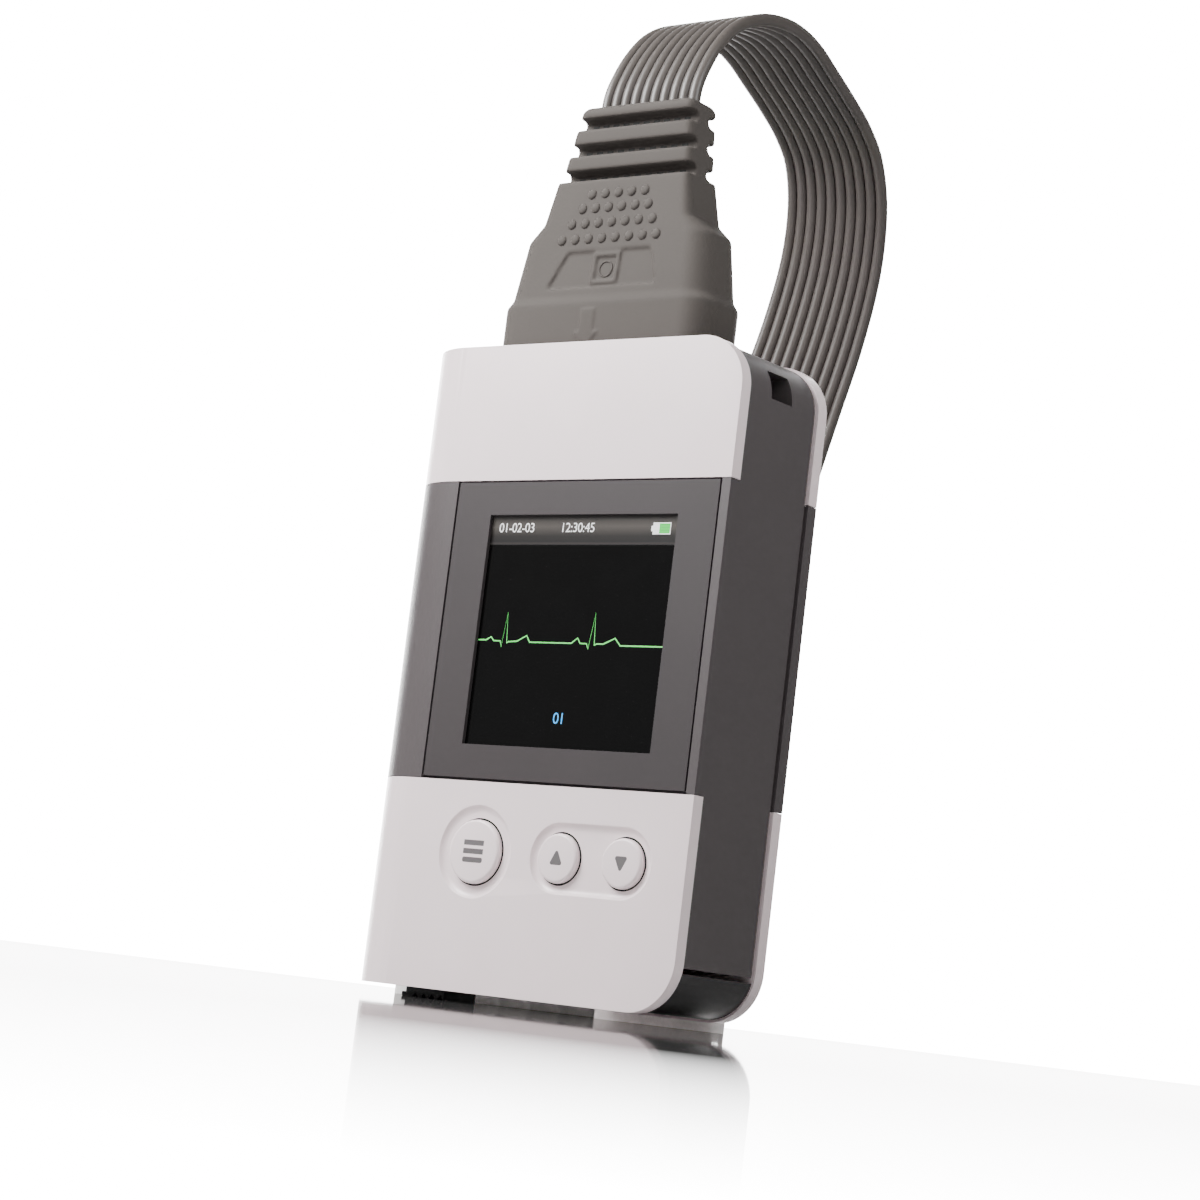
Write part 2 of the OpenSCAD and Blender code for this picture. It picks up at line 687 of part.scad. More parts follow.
// Cable socket in the top of the frame
module pin_grid(r, z0, z1) {
    for (i = [0:pin_cols - 1], j = [0:pin_rows - 1])
        translate([plug_x + (i - (pin_cols - 1) / 2) * pin_pitch, mid_y + (j - (pin_rows - 1) / 2) * row_pitch, z0])
            cylinder(r = r, h = z1 - z0);
}
module cable_socket() {
    color([0.16, 0.16, 0.17]) difference() {
        union() {
            translate([plug_x, mid_y, socket_floor - 2]) linear_extrude(socket_depth + 2)
                rounded(tongue_w + 2 * socket_wall, tongue_d + 2 * socket_wall, 0.9);
            box([plug_x - tongue_w / 2, board_back, socket_floor - 2 - socket_foot],
                [plug_x + tongue_w / 2, mid_y + row_pitch / 2 + 1, socket_floor - 2 + eps]);
        }
        translate([plug_x, mid_y, socket_floor]) linear_extrude(socket_depth + 1)
            rounded(tongue_w + 2 * plug_play, tongue_d + 2 * plug_play, 0.8);
        pin_grid(contact_r, socket_floor - pin_tail - 0.4, socket_floor + 1);
    }
}
module socket_pins() {
    color([0.85, 0.7, 0.35]) pin_grid(contact_r, socket_floor - pin_tail, socket_floor + pin_reach);
}

// Battery
module battery_tray() {
    color([0.18, 0.18, 0.19]) difference() {
        storey(shelf_z + shelf_t, tray_top) translate([cell_x, cell_y]) circle(tray_r);
        storey(0, cell_z + cell_len + contact_t) translate([cell_x, cell_y]) circle(cell_d / 2 + cell_play);
        box([cell_x - tray_r - 1, 0, 0], [cell_x + tray_r + 1, board_back, tray_top + 1]);
        box([cell_x - tray_r - 1, cell_y + 2.5, 0], [cell_x + tray_r + 1, body_d, tray_top + 1]);
    }
}
module battery_cell() {
    color([0.2, 0.45, 0.35]) translate([cell_x, cell_y, cell_z]) {
        cylinder(r = cell_d / 2, h = cell_len - nub_len);
        cylinder(r = nub_r, h = cell_len);
    }
}
module cell_contact() {
    color([0.85, 0.83, 0.78]) translate([cell_x, cell_y, cell_z + cell_len]) cylinder(r = nub_r + 1.3, h = contact_t);
}

// Battery door, hinged at the right on a pin held by the covers
module battery_door() {
    color([0.17, 0.16, 0.17]) difference() {
        union() {
            intersection() {
                difference() {
                    slab(door_front, door_rear) front_outline(cover_lip, end_lip, door_r);
                    slab(door_front - 1, door_rear + 1)
                        front_outline(cover_lip + door_wall, end_lip + door_wall, door_r - door_wall);
                }
                box([door_x, 0, 0], [body_w, body_d, door_top]);
            }
            rod(hinge_x, door_front, door_rear, hinge_z, barrel_r);
        }
        pin_hole();
        box([neck_x, mid_y - neck_w / 2 - neck_play, -1],
            [neck_x + neck_len + latch_travel + 2 * neck_play, mid_y + neck_w / 2 + neck_play, 4]);
    }
}
module hinge_pin() {
    color([0.8, 0.8, 0.82]) rod(hinge_x, cover_t - 1, back_y + 1, hinge_z, pin_r);
}
module door_contact() {
    color([0.85, 0.83, 0.78]) box([cell_x - plate_half, cell_y - plate_half, contact_z],
        [cell_x + plate_half, cell_y + plate_half, contact_z + contact_t]);
}

// Points of a tube of square-cut section round a list of ring centres
function unit(v) = v / norm(v);
function ring_points(c, u, v, shape) = [for (p = shape) c + u * p[0] + v * p[1]];
function tube_faces(n, k) = concat(
    [[for (j = [0:k - 1]) j]],
    [for (i = [0:n - 2], j = [0:k - 1]) [i * k + j, (i + 1) * k + j, (i + 1) * k + (j + 1) % k]],
    [for (i = [0:n - 2], j = [0:k - 1]) [i * k + j, (i + 1) * k + (j + 1) % k, i * k + (j + 1) % k]],
    [[for (j = [k - 1:-1:0]) (n - 1) * k + j]]);
function round_section(r, k) = [for (j = [0:k - 1]) [r * cos(360 * j / k), r * sin(360 * j / k)]];

// Coil spring between the door's contact plate and the cell
module door_spring() {
    k = 6;
    per_turn = 12;
    rise = cell_z - spring_z - spring_wire;
    steps = round(spring_turns * per_turn);
    shape = round_section(spring_wire / 2, k);
    points = [for (i = [0:steps]) let (a = 360 * i / per_turn, c = [cos(a), sin(a), 0])
        each ring_points([cell_x, cell_y, spring_z + spring_wire / 2 + rise * i / steps] + c * spring_r,
            [0, 0, 1], c, shape)];
    color([0.8, 0.8, 0.82]) polyhedron(points, tube_faces(steps + 1, k));
}

// Latch: a ridged slider under the door, its keeper plate with the bolt above it
module latch_profile() {
    low = -foot_h;
    high = end_lip - 0.05;
    lip = 0.8;
    first = latch_x + 2.2;
    polygon(concat(
        [[latch_x + lip, high], [latch_x + lip, low + 0.7], [latch_x, low + 0.7], [latch_x, low + 0.15], [latch_x + 0.15, low]],
        [for (i = [0:3], p = [[0, 0], [ridge_cut / 2, 0.75], [ridge_cut, 0]]) [first + i * ridge_pitch + p[0], low + p[1]]],
        [[latch_end, low], [latch_end, high]]));
}
module door_latch() {
    color([0.07, 0.07, 0.07]) {
        slab(mid_y - latch_w / 2, mid_y + latch_w / 2) latch_profile();
        box([neck_x + neck_play, mid_y - neck_w / 2, end_lip - 0.06],
            [neck_x + neck_play + neck_len, mid_y + neck_w / 2, keeper_z]);
    }
}
module latch_keeper() {
    color([0.1, 0.1, 0.1]) {
        box([door_x + 0.6, mid_y - bolt_w / 2 - 1, keeper_z],
            [neck_x + neck_len + 0.8, mid_y + bolt_w / 2 + 1, keeper_z + keeper_t]);
        box([door_x - bolt_len, mid_y - bolt_w / 2, keeper_z], [door_x + 1, mid_y + bolt_w / 2, keeper_z + keeper_t]);
    }
}
module case_screws() {
    color([0.3, 0.3, 0.32]) for (at = case_screw_at) {
        rod(at[0], boss_front + 1, body_d - 0.8, at[1], screw_r);
        difference() {
            rod(at[0], body_d - head_t - 0.1, body_d - 0.15, at[1], head_r);
            box([at[0] - 1, body_d - 0.65, at[1] - 0.2], [at[0] + 1, body_d + 1, at[1] + 0.2]);
            box([at[0] - 0.2, body_d - 0.65, at[1] - 1], [at[0] + 0.2, body_d + 1, at[1] + 1]);
        }
    }
}

// Plug
module at_plug(z) { translate([plug_x, mid_y, body_h + z]) children(); }
module plug_slice(i) { at_plug(hood_z[i]) linear_extrude(eps) rounded(hood_w[i], hood_d[i], hood_r[i]); }
module plug_collar() {
    color([0.47, 0.46, 0.44]) {
        at_plug(-end_lip) linear_extrude(collar_h + end_lip) rounded(collar_w, collar_d, collar_r);
        hull() {
            at_plug(collar_h - eps) linear_extrude(eps) rounded(collar_w, collar_d, collar_r, $fn = 32);
            at_plug(hood_foot - eps) linear_extrude(eps) rounded(hood_w[0], hood_d[0], hood_r[0], $fn = 32);
        }
        // Raised arrow that shows which way the plug goes in
        translate([plug_x - arrow_shift, mid_y - collar_d / 2 + 0.1, body_h]) rotate([90, 0, 0])
            linear_extrude(0.1 + arrow_rise)
            polygon([[0, 0.3], [2.3, 2.9], [1.25, 2.9], [1.25, 6.6], [-1.25, 6.6], [-1.25, 2.9], [-2.3, 2.9]]);
    }
}
module plug_hood() {
    color([0.47, 0.46, 0.44]) difference() {
        union() {
            for (i = [0:2]) hull() {
                plug_slice(i, $fn = 32);
                plug_slice(i + 1, $fn = 32);
            }
            strain_relief();
        }
        sunk_plate();
    }
}
// A tapering block that leans with the ribbon, grooved across its front and back
module relief_slice(z, w, d, lean) {
    at_plug(z) translate([lean, 0, 0]) linear_extrude(eps) rounded(w, d, 1.1, $fn = 16);
}
module strain_relief() {
    difference() {
        hull() {
            relief_slice(hood_z[3] - eps, relief_w[0], relief_d, 0);
            relief_slice(relief_h - 0.8, relief_w[1], relief_d, relief_lean);
            relief_slice(relief_h - eps, relief_w[1] - 1.2, relief_d - 1, relief_lean);
        }
        for (i = [0:ribs - 1], s = [0, 1]) at_plug(hood_z[3] + i * rib_pitch + groove_h / 2) rotate([0, 0, 180 * s]) {
            y = relief_d / 2 - relief_cut + groove_h / 2;
            translate([-collar_w / 2, y, 0]) rotate([0, 90, 0]) cylinder(r = groove_h / 2, h = collar_w, $fn = 16);
            box([-collar_w / 2, y, -groove_h / 2], [collar_w / 2, relief_d, groove_h / 2]);
        }
    }
}
// A polygon's corners rounded by arcs of five points that begin at a given distance from each corner
function soft_corners(p, r) = [for (i = [0:len(p) - 1], s = [0:0.25:1])
    let (b = p[i], a = b + unit(p[(i + len(p) - 1) % len(p)] - b) * r, c = b + unit(p[(i + 1) % len(p)] - b) * r)
        (1 - s) * (1 - s) * a + 2 * s * (1 - s) * b + s * s * c];
// A sunk plate in the hood's front, with a square frame left standing in it
module sunk_plate() {
    translate([plug_x, mid_y - hood_d[0] / 2 + plate_sink, body_h + hood_foot])
        rotate([90 + atan(hood_lean / 2), 0, 0]) linear_extrude(2) difference() {
            polygon(soft_corners([[-11.1, 1.3], [10.5, 1.3], [8.5, 7.5], [-7.9, 7.5]], 1));
            difference() {
                translate([-2.5, 1.9]) square([5.1, 5]);
                translate([-2, 2.4]) square([4.1, 4]);
            }
        }
}
module plug_tongue() {
    color([0.2, 0.2, 0.21]) difference() {
        at_plug(-end_lip - plug_depth) linear_extrude(plug_depth) rounded(tongue_w, tongue_d, 0.6);
        pin_grid(contact_r + contact_play, 0, socket_floor + pin_reach + 0.6);
    }
}

// Ribbon cable
function flat_section(w, t) = [[w / 2, 0], [w / 2 - t / 2, t / 2], [t / 2 - w / 2, t / 2], [-w / 2, 0],
    [t / 2 - w / 2, -t / 2], [w / 2 - t / 2, -t / 2]];
function smooth(p, i, s) = let (n = len(p) - 1, a = p[max(i - 1, 0)], b = p[i], c = p[min(i + 1, n)],
    d = p[min(i + 2, n)]) b + (c - a) * s / 2 + (2 * a - 5 * b + 4 * c - d) * s * s / 2
    + (3 * b - a - 3 * c + d) * s * s * s / 2;
function smooth_route(p, n) = concat([for (i = [0:len(p) - 2], j = [0:n - 1]) smooth(p, i, j / n)], [p[len(p) - 1]]);
function heading(c, i) = unit(c[min(i + 1, len(c) - 1)] - c[max(i - 1, 0)]);
function square_to(t, w) = unit(w - t * (w * t));
module ribbon(centres, across) {
    shape = flat_section(ribbon_w, wire_d);
    n = len(centres);
    points = [for (i = [0:n - 1]) let (t = heading(centres, i), u = square_to(t, across[i]), v = cross(t, u))
        each ring_points(centres[i], u, v, shape)];
    polyhedron(points, tube_faces(n, len(shape)));
}
module cable_place() { translate([0, y_face + mid_y, foot_h]) children(); }
module patient_ribbon() {
    fine = smooth_route(route, route_step);
    color([0.5, 0.49, 0.47]) cable_place() ribbon([for (p = fine) [p[0], p[1], p[2]]],
        [for (p = fine) [cos(p[3]), sin(p[3]), 0]]);
}

// The roll lies in an upright plane: along is away from the case, up is Z
function roll_in() = [for (i = [0:roll_turns * roll_steps]) let (a = 360 * i / roll_steps,
    r = roll_r - 2 * roll_pitch * i / roll_steps) [r * cos(-a), r * sin(-a)]];
function roll_bend() = let (e = -360 * roll_turns, m = roll_core / 2, c = [m * cos(e), m * sin(e)]) concat(
    [for (a = [22.5:22.5:180]) c + [m * cos(e - a), m * sin(e - a)]],
    [for (a = [22.5:22.5:157.5]) -c + [m * cos(e + a), m * sin(e + a)]]);
function roll_out() = let (e = 180 - 360 * roll_turns) [for (i = [0:(roll_turns + 0.25) * roll_steps])
    let (a = 360 * i / roll_steps, r = roll_core + 2 * roll_pitch * i / roll_steps)
    [r * cos(e + a), r * sin(e + a)]];
function in_roll(p) = [roll_at[0] + p[0] * roll_along[0], roll_at[1] + p[0] * roll_along[1],
    roll_z - foot_h + p[1]];
module ribbon_roll() {
    path = [for (p = concat(roll_in(), roll_bend(), roll_out())) in_roll(p)];
    color([0.5, 0.49, 0.47]) cable_place()
        ribbon(path, [for (p = path) [roll_across[0], roll_across[1], 0]]);
}
// Things that lie in the roll's own axes: x away from the case, y across, z up from the floor
module at_roll() {
    translate([roll_at[0], y_face + mid_y + roll_at[1], 0]) rotate([0, 0, 90 + roll_turn]) children();
}
// The roll stands on its tie, which wraps all the strands at its bottom
module band(x0, x1, y0, y1, high) {
    difference() {
        box([x0, y0 - tie_t, 0], [x1, y1 + tie_t, high + tie_t]);
        box([x0 - 1, y0, roll_lift], [x1 + 1, y1, high]);
    }
}
module roll_tie() {
    half = ribbon_w / 2 + tie_play;
    color([0.85, 0.85, 0.85]) at_roll() band(-tie_w / 2, tie_w / 2, -half, half,
        roll_z - roll_core - roll_pitch / 2 + wire_d / 2 + tie_play + tie_sag);
}
// A comb that keeps the ten sleeves side by side
module lead_comb() {
    half = (wires - 1) / 2 * sleeve_pitch + sleeve_d / 2 + comb_wall;
    color([0.85, 0.85, 0.85]) at_roll() difference() {
        box([tail_run + comb_at, -half - tail_shift, 0],
            [tail_run + comb_at + comb_w, half - tail_shift, roll_lift + sleeve_d + comb_wall]);
        for (i = [0:wires - 1]) at_sleeve(i) translate([0, 0, 1]) cylinder(r = sleeve_d / 2 + comb_play, h = sleeve_len);
    }
}
function tail_point(i, s) = let (k = i - (wires - 1) / 2, b = (1 - cos(180 * s)) / 2)
    [tail_run * s, -(k * wire_d * (1 - b) + (k * sleeve_pitch + tail_shift) * b),
    roll_lift + wire_d / 2 + (sleeve_d - wire_d) / 2 * max(0, b * 4 - 3)];
module tube(centres, r, k) {
    n = len(centres);
    points = [for (i = [0:n - 1]) let (t = heading(centres, i), u = square_to(t, [0, 1, 0]), v = cross(t, u))
        each ring_points(centres[i], u, v, round_section(r, k))];
    polyhedron(points, tube_faces(n, k));
}
module lead_tails() {
    color([0.5, 0.49, 0.47]) at_roll() for (i = [0:wires - 1])
        tube([for (j = [0:tail_steps]) tail_point(i, j / tail_steps)], wire_d / 2, 6);
}
module at_sleeve(i) {
    p = tail_point(i, 1);
    translate([tail_run - 2, p[1], p[2]]) rotate([0, 90, 0]) children();
}
module lead_sleeves() {
    color([0.42, 0.41, 0.4]) at_roll() for (i = [0:wires - 1]) at_sleeve(i) difference() {
        union() {
            cylinder(r = sleeve_d / 2 - 0.6, h = sleeve_len);
            translate([0, 0, 1]) cylinder(r = sleeve_d / 2, h = sleeve_len - 6);
        }
        translate([0, 0, sleeve_len - 10]) cylinder(r = 1.3, h = 11);
        translate([0, 0, -1]) cylinder(r = wire_d / 2 + 0.02, h = 3.1);
    }
}
module lead_contacts() {
    color([0.85, 0.7, 0.35]) at_roll() for (i = [0:wires - 1]) at_sleeve(i) difference() {
        translate([0, 0, sleeve_len - 10]) cylinder(r = 1.3, h = 7.5);
        translate([0, 0, sleeve_len - 8]) cylinder(r = 0.8, h = 9);
    }
}

place() mid_frame();
place() lanyard_corner();
place() front_upper_cover();
place() front_lower_cover();
place() rear_upper_cover();
place() rear_band();
place() rear_lower_cover();
place() display_panel();
place() display_glass();
place() display_cushion();
place() display_module();
place() display_flex();
place() main_board();
place() board_screws();
place() processor_shield();
place() buzzer();
place() backup_cell();
place() card_socket();
place() memory_card();
place() tact_switches();
place() menu_button();
place() up_button();
place() down_button();
place() menu_plunger();
place() up_plunger();
place() down_plunger();
place() cable_socket();
place() socket_pins();
place() battery_tray();
place() battery_cell();
place() cell_contact();
place() door_contact();
place() door_spring();
place() battery_door();
place() hinge_pin();
place() door_latch();
place() latch_keeper();
place() case_screws();
place() plug_collar();
place() plug_hood();
place() plug_tongue();
patient_ribbon();
ribbon_roll();
roll_tie();
lead_tails();
lead_sleeves();
lead_contacts();
lead_comb();
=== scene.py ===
"""Dresses a pocket heart-rhythm recorder and its ten-wire patient cable.

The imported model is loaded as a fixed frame, in metres: X to the right seen from the screen side,
Y from the screen to the back, Z up. Lengths below are in millimetres unless they are properties.
"""
import math

import bmesh
import bpy
from bpy.props import (
    FloatProperty, FloatVectorProperty, IntProperty, PointerProperty, StringProperty)
from mathutils import Matrix, Vector
from mathutils.bvhtree import BVHTree


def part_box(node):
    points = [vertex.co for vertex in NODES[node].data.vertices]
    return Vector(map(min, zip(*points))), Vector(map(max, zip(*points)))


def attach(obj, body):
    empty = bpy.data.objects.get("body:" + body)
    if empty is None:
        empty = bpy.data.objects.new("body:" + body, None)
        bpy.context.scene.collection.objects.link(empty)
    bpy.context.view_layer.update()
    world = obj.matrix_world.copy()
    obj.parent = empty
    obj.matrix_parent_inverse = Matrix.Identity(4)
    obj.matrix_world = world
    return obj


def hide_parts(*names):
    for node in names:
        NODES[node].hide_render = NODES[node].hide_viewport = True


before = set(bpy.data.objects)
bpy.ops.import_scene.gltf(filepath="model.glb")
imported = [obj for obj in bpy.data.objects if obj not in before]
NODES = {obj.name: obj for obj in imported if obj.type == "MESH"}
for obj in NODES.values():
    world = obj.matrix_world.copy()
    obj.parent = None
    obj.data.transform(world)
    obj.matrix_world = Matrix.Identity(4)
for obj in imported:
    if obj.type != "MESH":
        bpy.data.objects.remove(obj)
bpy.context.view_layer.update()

bl_info = {
    "name": "Heart Recorder",
    "version": (1, 0, 0),
    "blender": (4, 5, 0),
    "location": "3D View > Sidebar > Recorder",
    "description": "Finishes a pocket heart-rhythm recorder with its patient cable",
    "category": "Object",
}

MM = 0.001


def edges_of(node):
    """The six sides of a CAD node's box in millimetres: left, right, front, back, bottom, top."""
    low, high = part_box(node)
    return low[0] / MM, high[0] / MM, low[1] / MM, high[1] / MM, low[2] / MM, high[2] / MM


# The case's sides and its middle from front to back
CASE_LEFT, _, CASE_FRONT, _, CASE_BOTTOM, _ = edges_of("front_lower_cover")
CASE_BACK = edges_of("rear_lower_cover")[3]
CASE_MIDDLE = (CASE_FRONT + CASE_BACK) / 2

# Points this close are one, and an edge this close to a plane lies on it
WELD = 0.002
ON_PLANE = 0.05

# The dished fields: depth as in the part, reach from a button's middle, power of the side's
# curve, rounding of its upper edge, margin round the buttons
DISH_DEPTH = 0.6
DISH_REACH = 8
DISH_CURVE = 2.6
DISH_EDGE = 0.1
DISH_MARGIN = 4


# -------- properties

class CameraSettings(bpy.types.PropertyGroup):
    azimuth: FloatProperty(
        name="Azimuth", description="Angle round the recorder", default=math.radians(38.55),
        subtype="ANGLE")
    elevation: FloatProperty(
        name="Elevation", description="Angle above the horizon", default=math.radians(-7.692),
        subtype="ANGLE")
    roll: FloatProperty(
        name="Roll", description="Tilt of the picture", default=math.radians(6.932),
        subtype="ANGLE")
    distance: FloatProperty(
        name="Distance", description="From the point looked at", default=0.449178, unit="LENGTH")
    look_at: FloatVectorProperty(
        name="Look At", default=(0.043838, 0.0, 0.059974), unit="LENGTH",
        description="Point in the middle of the picture, from the case's left front bottom corner")
    lens: FloatProperty(
        name="Lens", description="Focal length in millimetres on a 36 mm frame", default=90.53)


class CableSettings(bpy.types.PropertyGroup):
    wire: FloatProperty(
        name="Wire", default=0.002, unit="LENGTH",
        description="Diameter of one wire, a little over their distance, to bond them")
    jacket: StringProperty(name="Jacket", description="Colour of the wires", default="46413E")


class PlugSettings(bpy.types.PropertyGroup):
    colour: StringProperty(name="Colour", description="Colour of the soft plug", default="4A4643")
    skin: FloatProperty(
        name="Skin", description="Size of the soft skin's faces", default=0.00025, unit="LENGTH")
    softness: IntProperty(
        name="Softness", description="Times that plain edges are smoothed", default=3)
    sign_softness: IntProperty(
        name="Signs' Softness", description="Times that signs are smoothed", default=2)
    bump: FloatProperty(
        name="Bump", description="Diameter of a grip bump", default=0.0017, unit="LENGTH")
    bump_height: FloatProperty(
        name="Bump Height", description="Height of a grip bump", default=0.0004, unit="LENGTH")


class ShellSettings(bpy.types.PropertyGroup):
    rim: FloatProperty(
        name="Rim", description="Rounding of the covers' edges", default=0.0007, unit="LENGTH")
    dish: FloatProperty(
        name="Dish", description="Width of the sweep round a dish", default=0.00125, unit="LENGTH")
    cap: FloatProperty(
        name="Cap", description="Rounding of the buttons' edges", default=0.0005, unit="LENGTH")
    white: StringProperty(name="White", description="Colour of the covers", default="E9DADC")
    grey: StringProperty(name="Grey", description="Colour of the middle frame", default="494445")
    panel: StringProperty(
        name="Panel", description="Colour of the display panel", default="393536")


class ScreenSettings(bpy.types.PropertyGroup):
    trace: StringProperty(name="Trace", description="Colour of the heart trace", default="5CC864")
    label: StringProperty(
        name="Label", description="Colour of the channel number", default="3C9BE0")
    ground: StringProperty(
        name="Ground", description="Colour of the dark screen", default="060606")


class StageSettings(bpy.types.PropertyGroup):
    floor: FloatProperty(name="Floor", description="Side of the floor", default=6.0, unit="LENGTH")
    paper: FloatProperty(
        name="Paper", description="Glow of the white paper", default=18.0)
    key: FloatProperty(
        name="Key Light", description="Power of the main light in watts", default=2.6)
    fill: FloatProperty(
        name="Fill Light", description="Power of the fill light in watts", default=0.24)
    sky: FloatProperty(name="Sky", description="Strength of the surroundings", default=0.28)


# -------- materials

def linear(hex_colour):
    """A linear colour with alpha from an sRGB hex value."""
    out = []
    for i in (0, 2, 4):
        c = int(hex_colour[i:i + 2], 16) / 255
        out.append(c / 12.92 if c <= 0.04045 else ((c + 0.055) / 1.055) ** 2.4)
    return (*out, 1.0)


def add(tree, kind, inputs=None, **settings):
    """Adds a node; inputs are constants or the output sockets that feed them."""
    made = tree.nodes.new(kind)
    for key, value in settings.items():
        setattr(made, key, value)
    for key, value in (inputs or {}).items():
        if isinstance(value, bpy.types.NodeSocket):
            tree.links.new(value, made.inputs[key])
        else:
            made.inputs[key].default_value = value
    return made


def new_material(name):
    """A material and its empty tree; no tree if the material is there already."""
    material = bpy.data.materials.get(name)
    if material:
        return material, None
    material = bpy.data.materials.new(name)
    material.use_nodes = True
    material.node_tree.nodes.clear()
    return material, material.node_tree


def close(tree, shader):
    """Ends a tree with the shader as the material's surface."""
    add(tree, "ShaderNodeOutputMaterial", {"Surface": shader})


def position(tree):
    """The place on the object, in metres."""
    return add(tree, "ShaderNodeTexCoord").outputs["Object"]


def ramp(tree, fac, stops):
    """A colour by fac, between stops of place and hex colour."""
    made = add(tree, "ShaderNodeValToRGB", {"Fac": fac})
    band = made.color_ramp.elements
    while len(band) < len(stops):
        band.new(0.5)
    for element, (at, colour) in zip(band, stops):
        element.position = at
        element.color = linear(colour)
    return made.outputs["Color"]


def glowing(tree, tone, roughness, glow):
    """Ends a tree with a surface that also shines by itself in its own colour."""
    shader = add(tree, "ShaderNodeBsdfPrincipled", {
        "Base Color": tone, "Roughness": roughness, "Emission Color": tone,
        "Emission Strength": glow})
    close(tree, shader.outputs["BSDF"])


def shade(hex_colour, factor):
    """The hex colour made lighter or darker by a factor."""
    parts = (round(int(hex_colour[i:i + 2], 16) * factor) for i in (0, 2, 4))
    return "".join("%02X" % max(0, min(255, part)) for part in parts)


def moulded_plastic(name, colour, roughness, grain_mm=0.12, relief=0.02, spread=0.03,
                    shine=0.5, drift_mm=14.0, wander=0.04):
    """Moulded plastic: its colour drifts a little over centimetres, on the tool's fine grain."""
    material, tree = new_material(name)
    if tree is None:
        return material
    at = position(tree)
    drift = add(tree, "ShaderNodeTexNoise", {
        "Vector": at, "Scale": 1 / (drift_mm * MM), "Detail": 2.0})
    tone = ramp(tree, drift.outputs["Fac"], [
        (0.3, shade(colour, 1 - spread)), (0.7, shade(colour, 1 + spread))])
    grain = add(tree, "ShaderNodeTexNoise", {
        "Vector": at, "Scale": 1 / (grain_mm * MM), "Detail": 3.0})
    rough = add(tree, "ShaderNodeMapRange", {
        "Value": grain.outputs["Fac"], "To Min": roughness - wander, "To Max": roughness + wander})
    bump = add(tree, "ShaderNodeBump", {
        "Height": grain.outputs["Fac"], "Strength": 0.35, "Distance": relief * MM})
    shader = add(tree, "ShaderNodeBsdfPrincipled", {
        "Base Color": tone, "Roughness": rough.outputs["Result"], "Normal": bump.outputs["Normal"],
        "IOR": 1.5, "Specular IOR Level": shine})
    close(tree, shader.outputs["BSDF"])
    return material


def sheet_metal(name, colour, roughness, line_mm=0.15):
    """Rolled or drawn metal: fine lines along one way that break up its shine."""
    material, tree = new_material(name)
    if tree is None:
        return material
    at = position(tree)
    stretched = add(tree, "ShaderNodeMapping", {"Vector": at, "Scale": (0.05, 1.0, 1.0)})
    lines = add(tree, "ShaderNodeTexNoise", {
        "Vector": stretched.outputs["Vector"], "Scale": 1 / (line_mm * MM), "Detail": 2.0})
    tone = ramp(tree, lines.outputs["Fac"], [
        (0.35, shade(colour, 0.9)), (0.65, shade(colour, 1.05))])
    bump = add(tree, "ShaderNodeBump", {
        "Height": lines.outputs["Fac"], "Strength": 0.2, "Distance": 0.01 * MM})
    shader = add(tree, "ShaderNodeBsdfPrincipled", {
        "Base Color": tone, "Metallic": 1.0, "Roughness": roughness,
        "Normal": bump.outputs["Normal"]})
    close(tree, shader.outputs["BSDF"])
    return material


def lit_pixels(name, colour, glow, row_mm=0.22):
    """Lit display pixels: the colour shines by itself a little, and the fine rows show."""
    material, tree = new_material(name)
    if tree is None:
        return material
    split = add(tree, "ShaderNodeSeparateXYZ", {"Vector": position(tree)})
    rows = add(tree, "ShaderNodeMath", {
        0: split.outputs["Z"], 1: 1 / (row_mm * MM)}, operation="MULTIPLY")
    wave = add(tree, "ShaderNodeMath", {
        0: rows.outputs["Value"], 1: 1.0}, operation="PINGPONG")
    tone = ramp(tree, wave.outputs["Value"], [(0.0, shade(colour, 0.92)), (1.0, colour)])
    glowing(tree, tone, 0.35, glow)
    return material


def paint(material, *nodes):
    """Gives CAD nodes their finish."""
    for node in nodes:
        for part in NODES[node].material_slots:
            part.material = material


# -------- mesh helpers

def new_object(name, data):
    """An object in the scene."""
    made = bpy.data.objects.new(name, data)
    bpy.context.scene.collection.objects.link(made)
    return made


def facing(at, way):
    """The matrix of a place whose Z axis points a way."""
    return Matrix.Translation(at) @ way.to_track_quat("Z", "Y").to_matrix().to_4x4()


def finish_piece(name, bm, material, body, smooth_angle=35.0):
    """Turns a bmesh in metres into a piece that rides on a body."""
    mesh = bpy.data.meshes.new(name)
    bm.to_mesh(mesh)
    bm.free()
    mesh.shade_smooth()
    mesh.set_sharp_from_angle(angle=math.radians(smooth_angle))
    mesh.materials.append(material)
    piece = new_object(name, mesh)
    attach(piece, body)
    return piece


def merged_copy(node):
    """A bmesh of a CAD node's shape, its triangles merged into whole flat faces."""
    bm = bmesh.new()
    bm.from_mesh(NODES[node].data)
    bmesh.ops.remove_doubles(bm, verts=bm.verts, dist=WELD * MM)
    bmesh.ops.dissolve_limit(bm, angle_limit=math.radians(0.5), verts=bm.verts, edges=bm.edges)
    return bm


def sharp_edges(bm, chosen, least=28.0):
    """The outward edges sharper than so many degrees that a test on their middle picks."""
    found = []
    for edge in bm.edges:
        if len(edge.link_faces) != 2 or not edge.is_convex:
            continue
        if math.degrees(edge.calc_face_angle(0.0)) < least:
            continue
        middle = (edge.verts[0].co + edge.verts[1].co) / (2 * MM)
        if chosen(middle):
            found.append(edge)
    return found


def round_edges(bm, edges, radius, segments=3):
    """Rounds the edges, if there are any, by a radius in metres."""
    if edges:
        bmesh.ops.bevel(
            bm, geom=edges, offset=radius, offset_type="OFFSET", segments=segments,
            profile=0.5, affect="EDGES", clamp_overlap=True, material=-1, loop_slide=True)


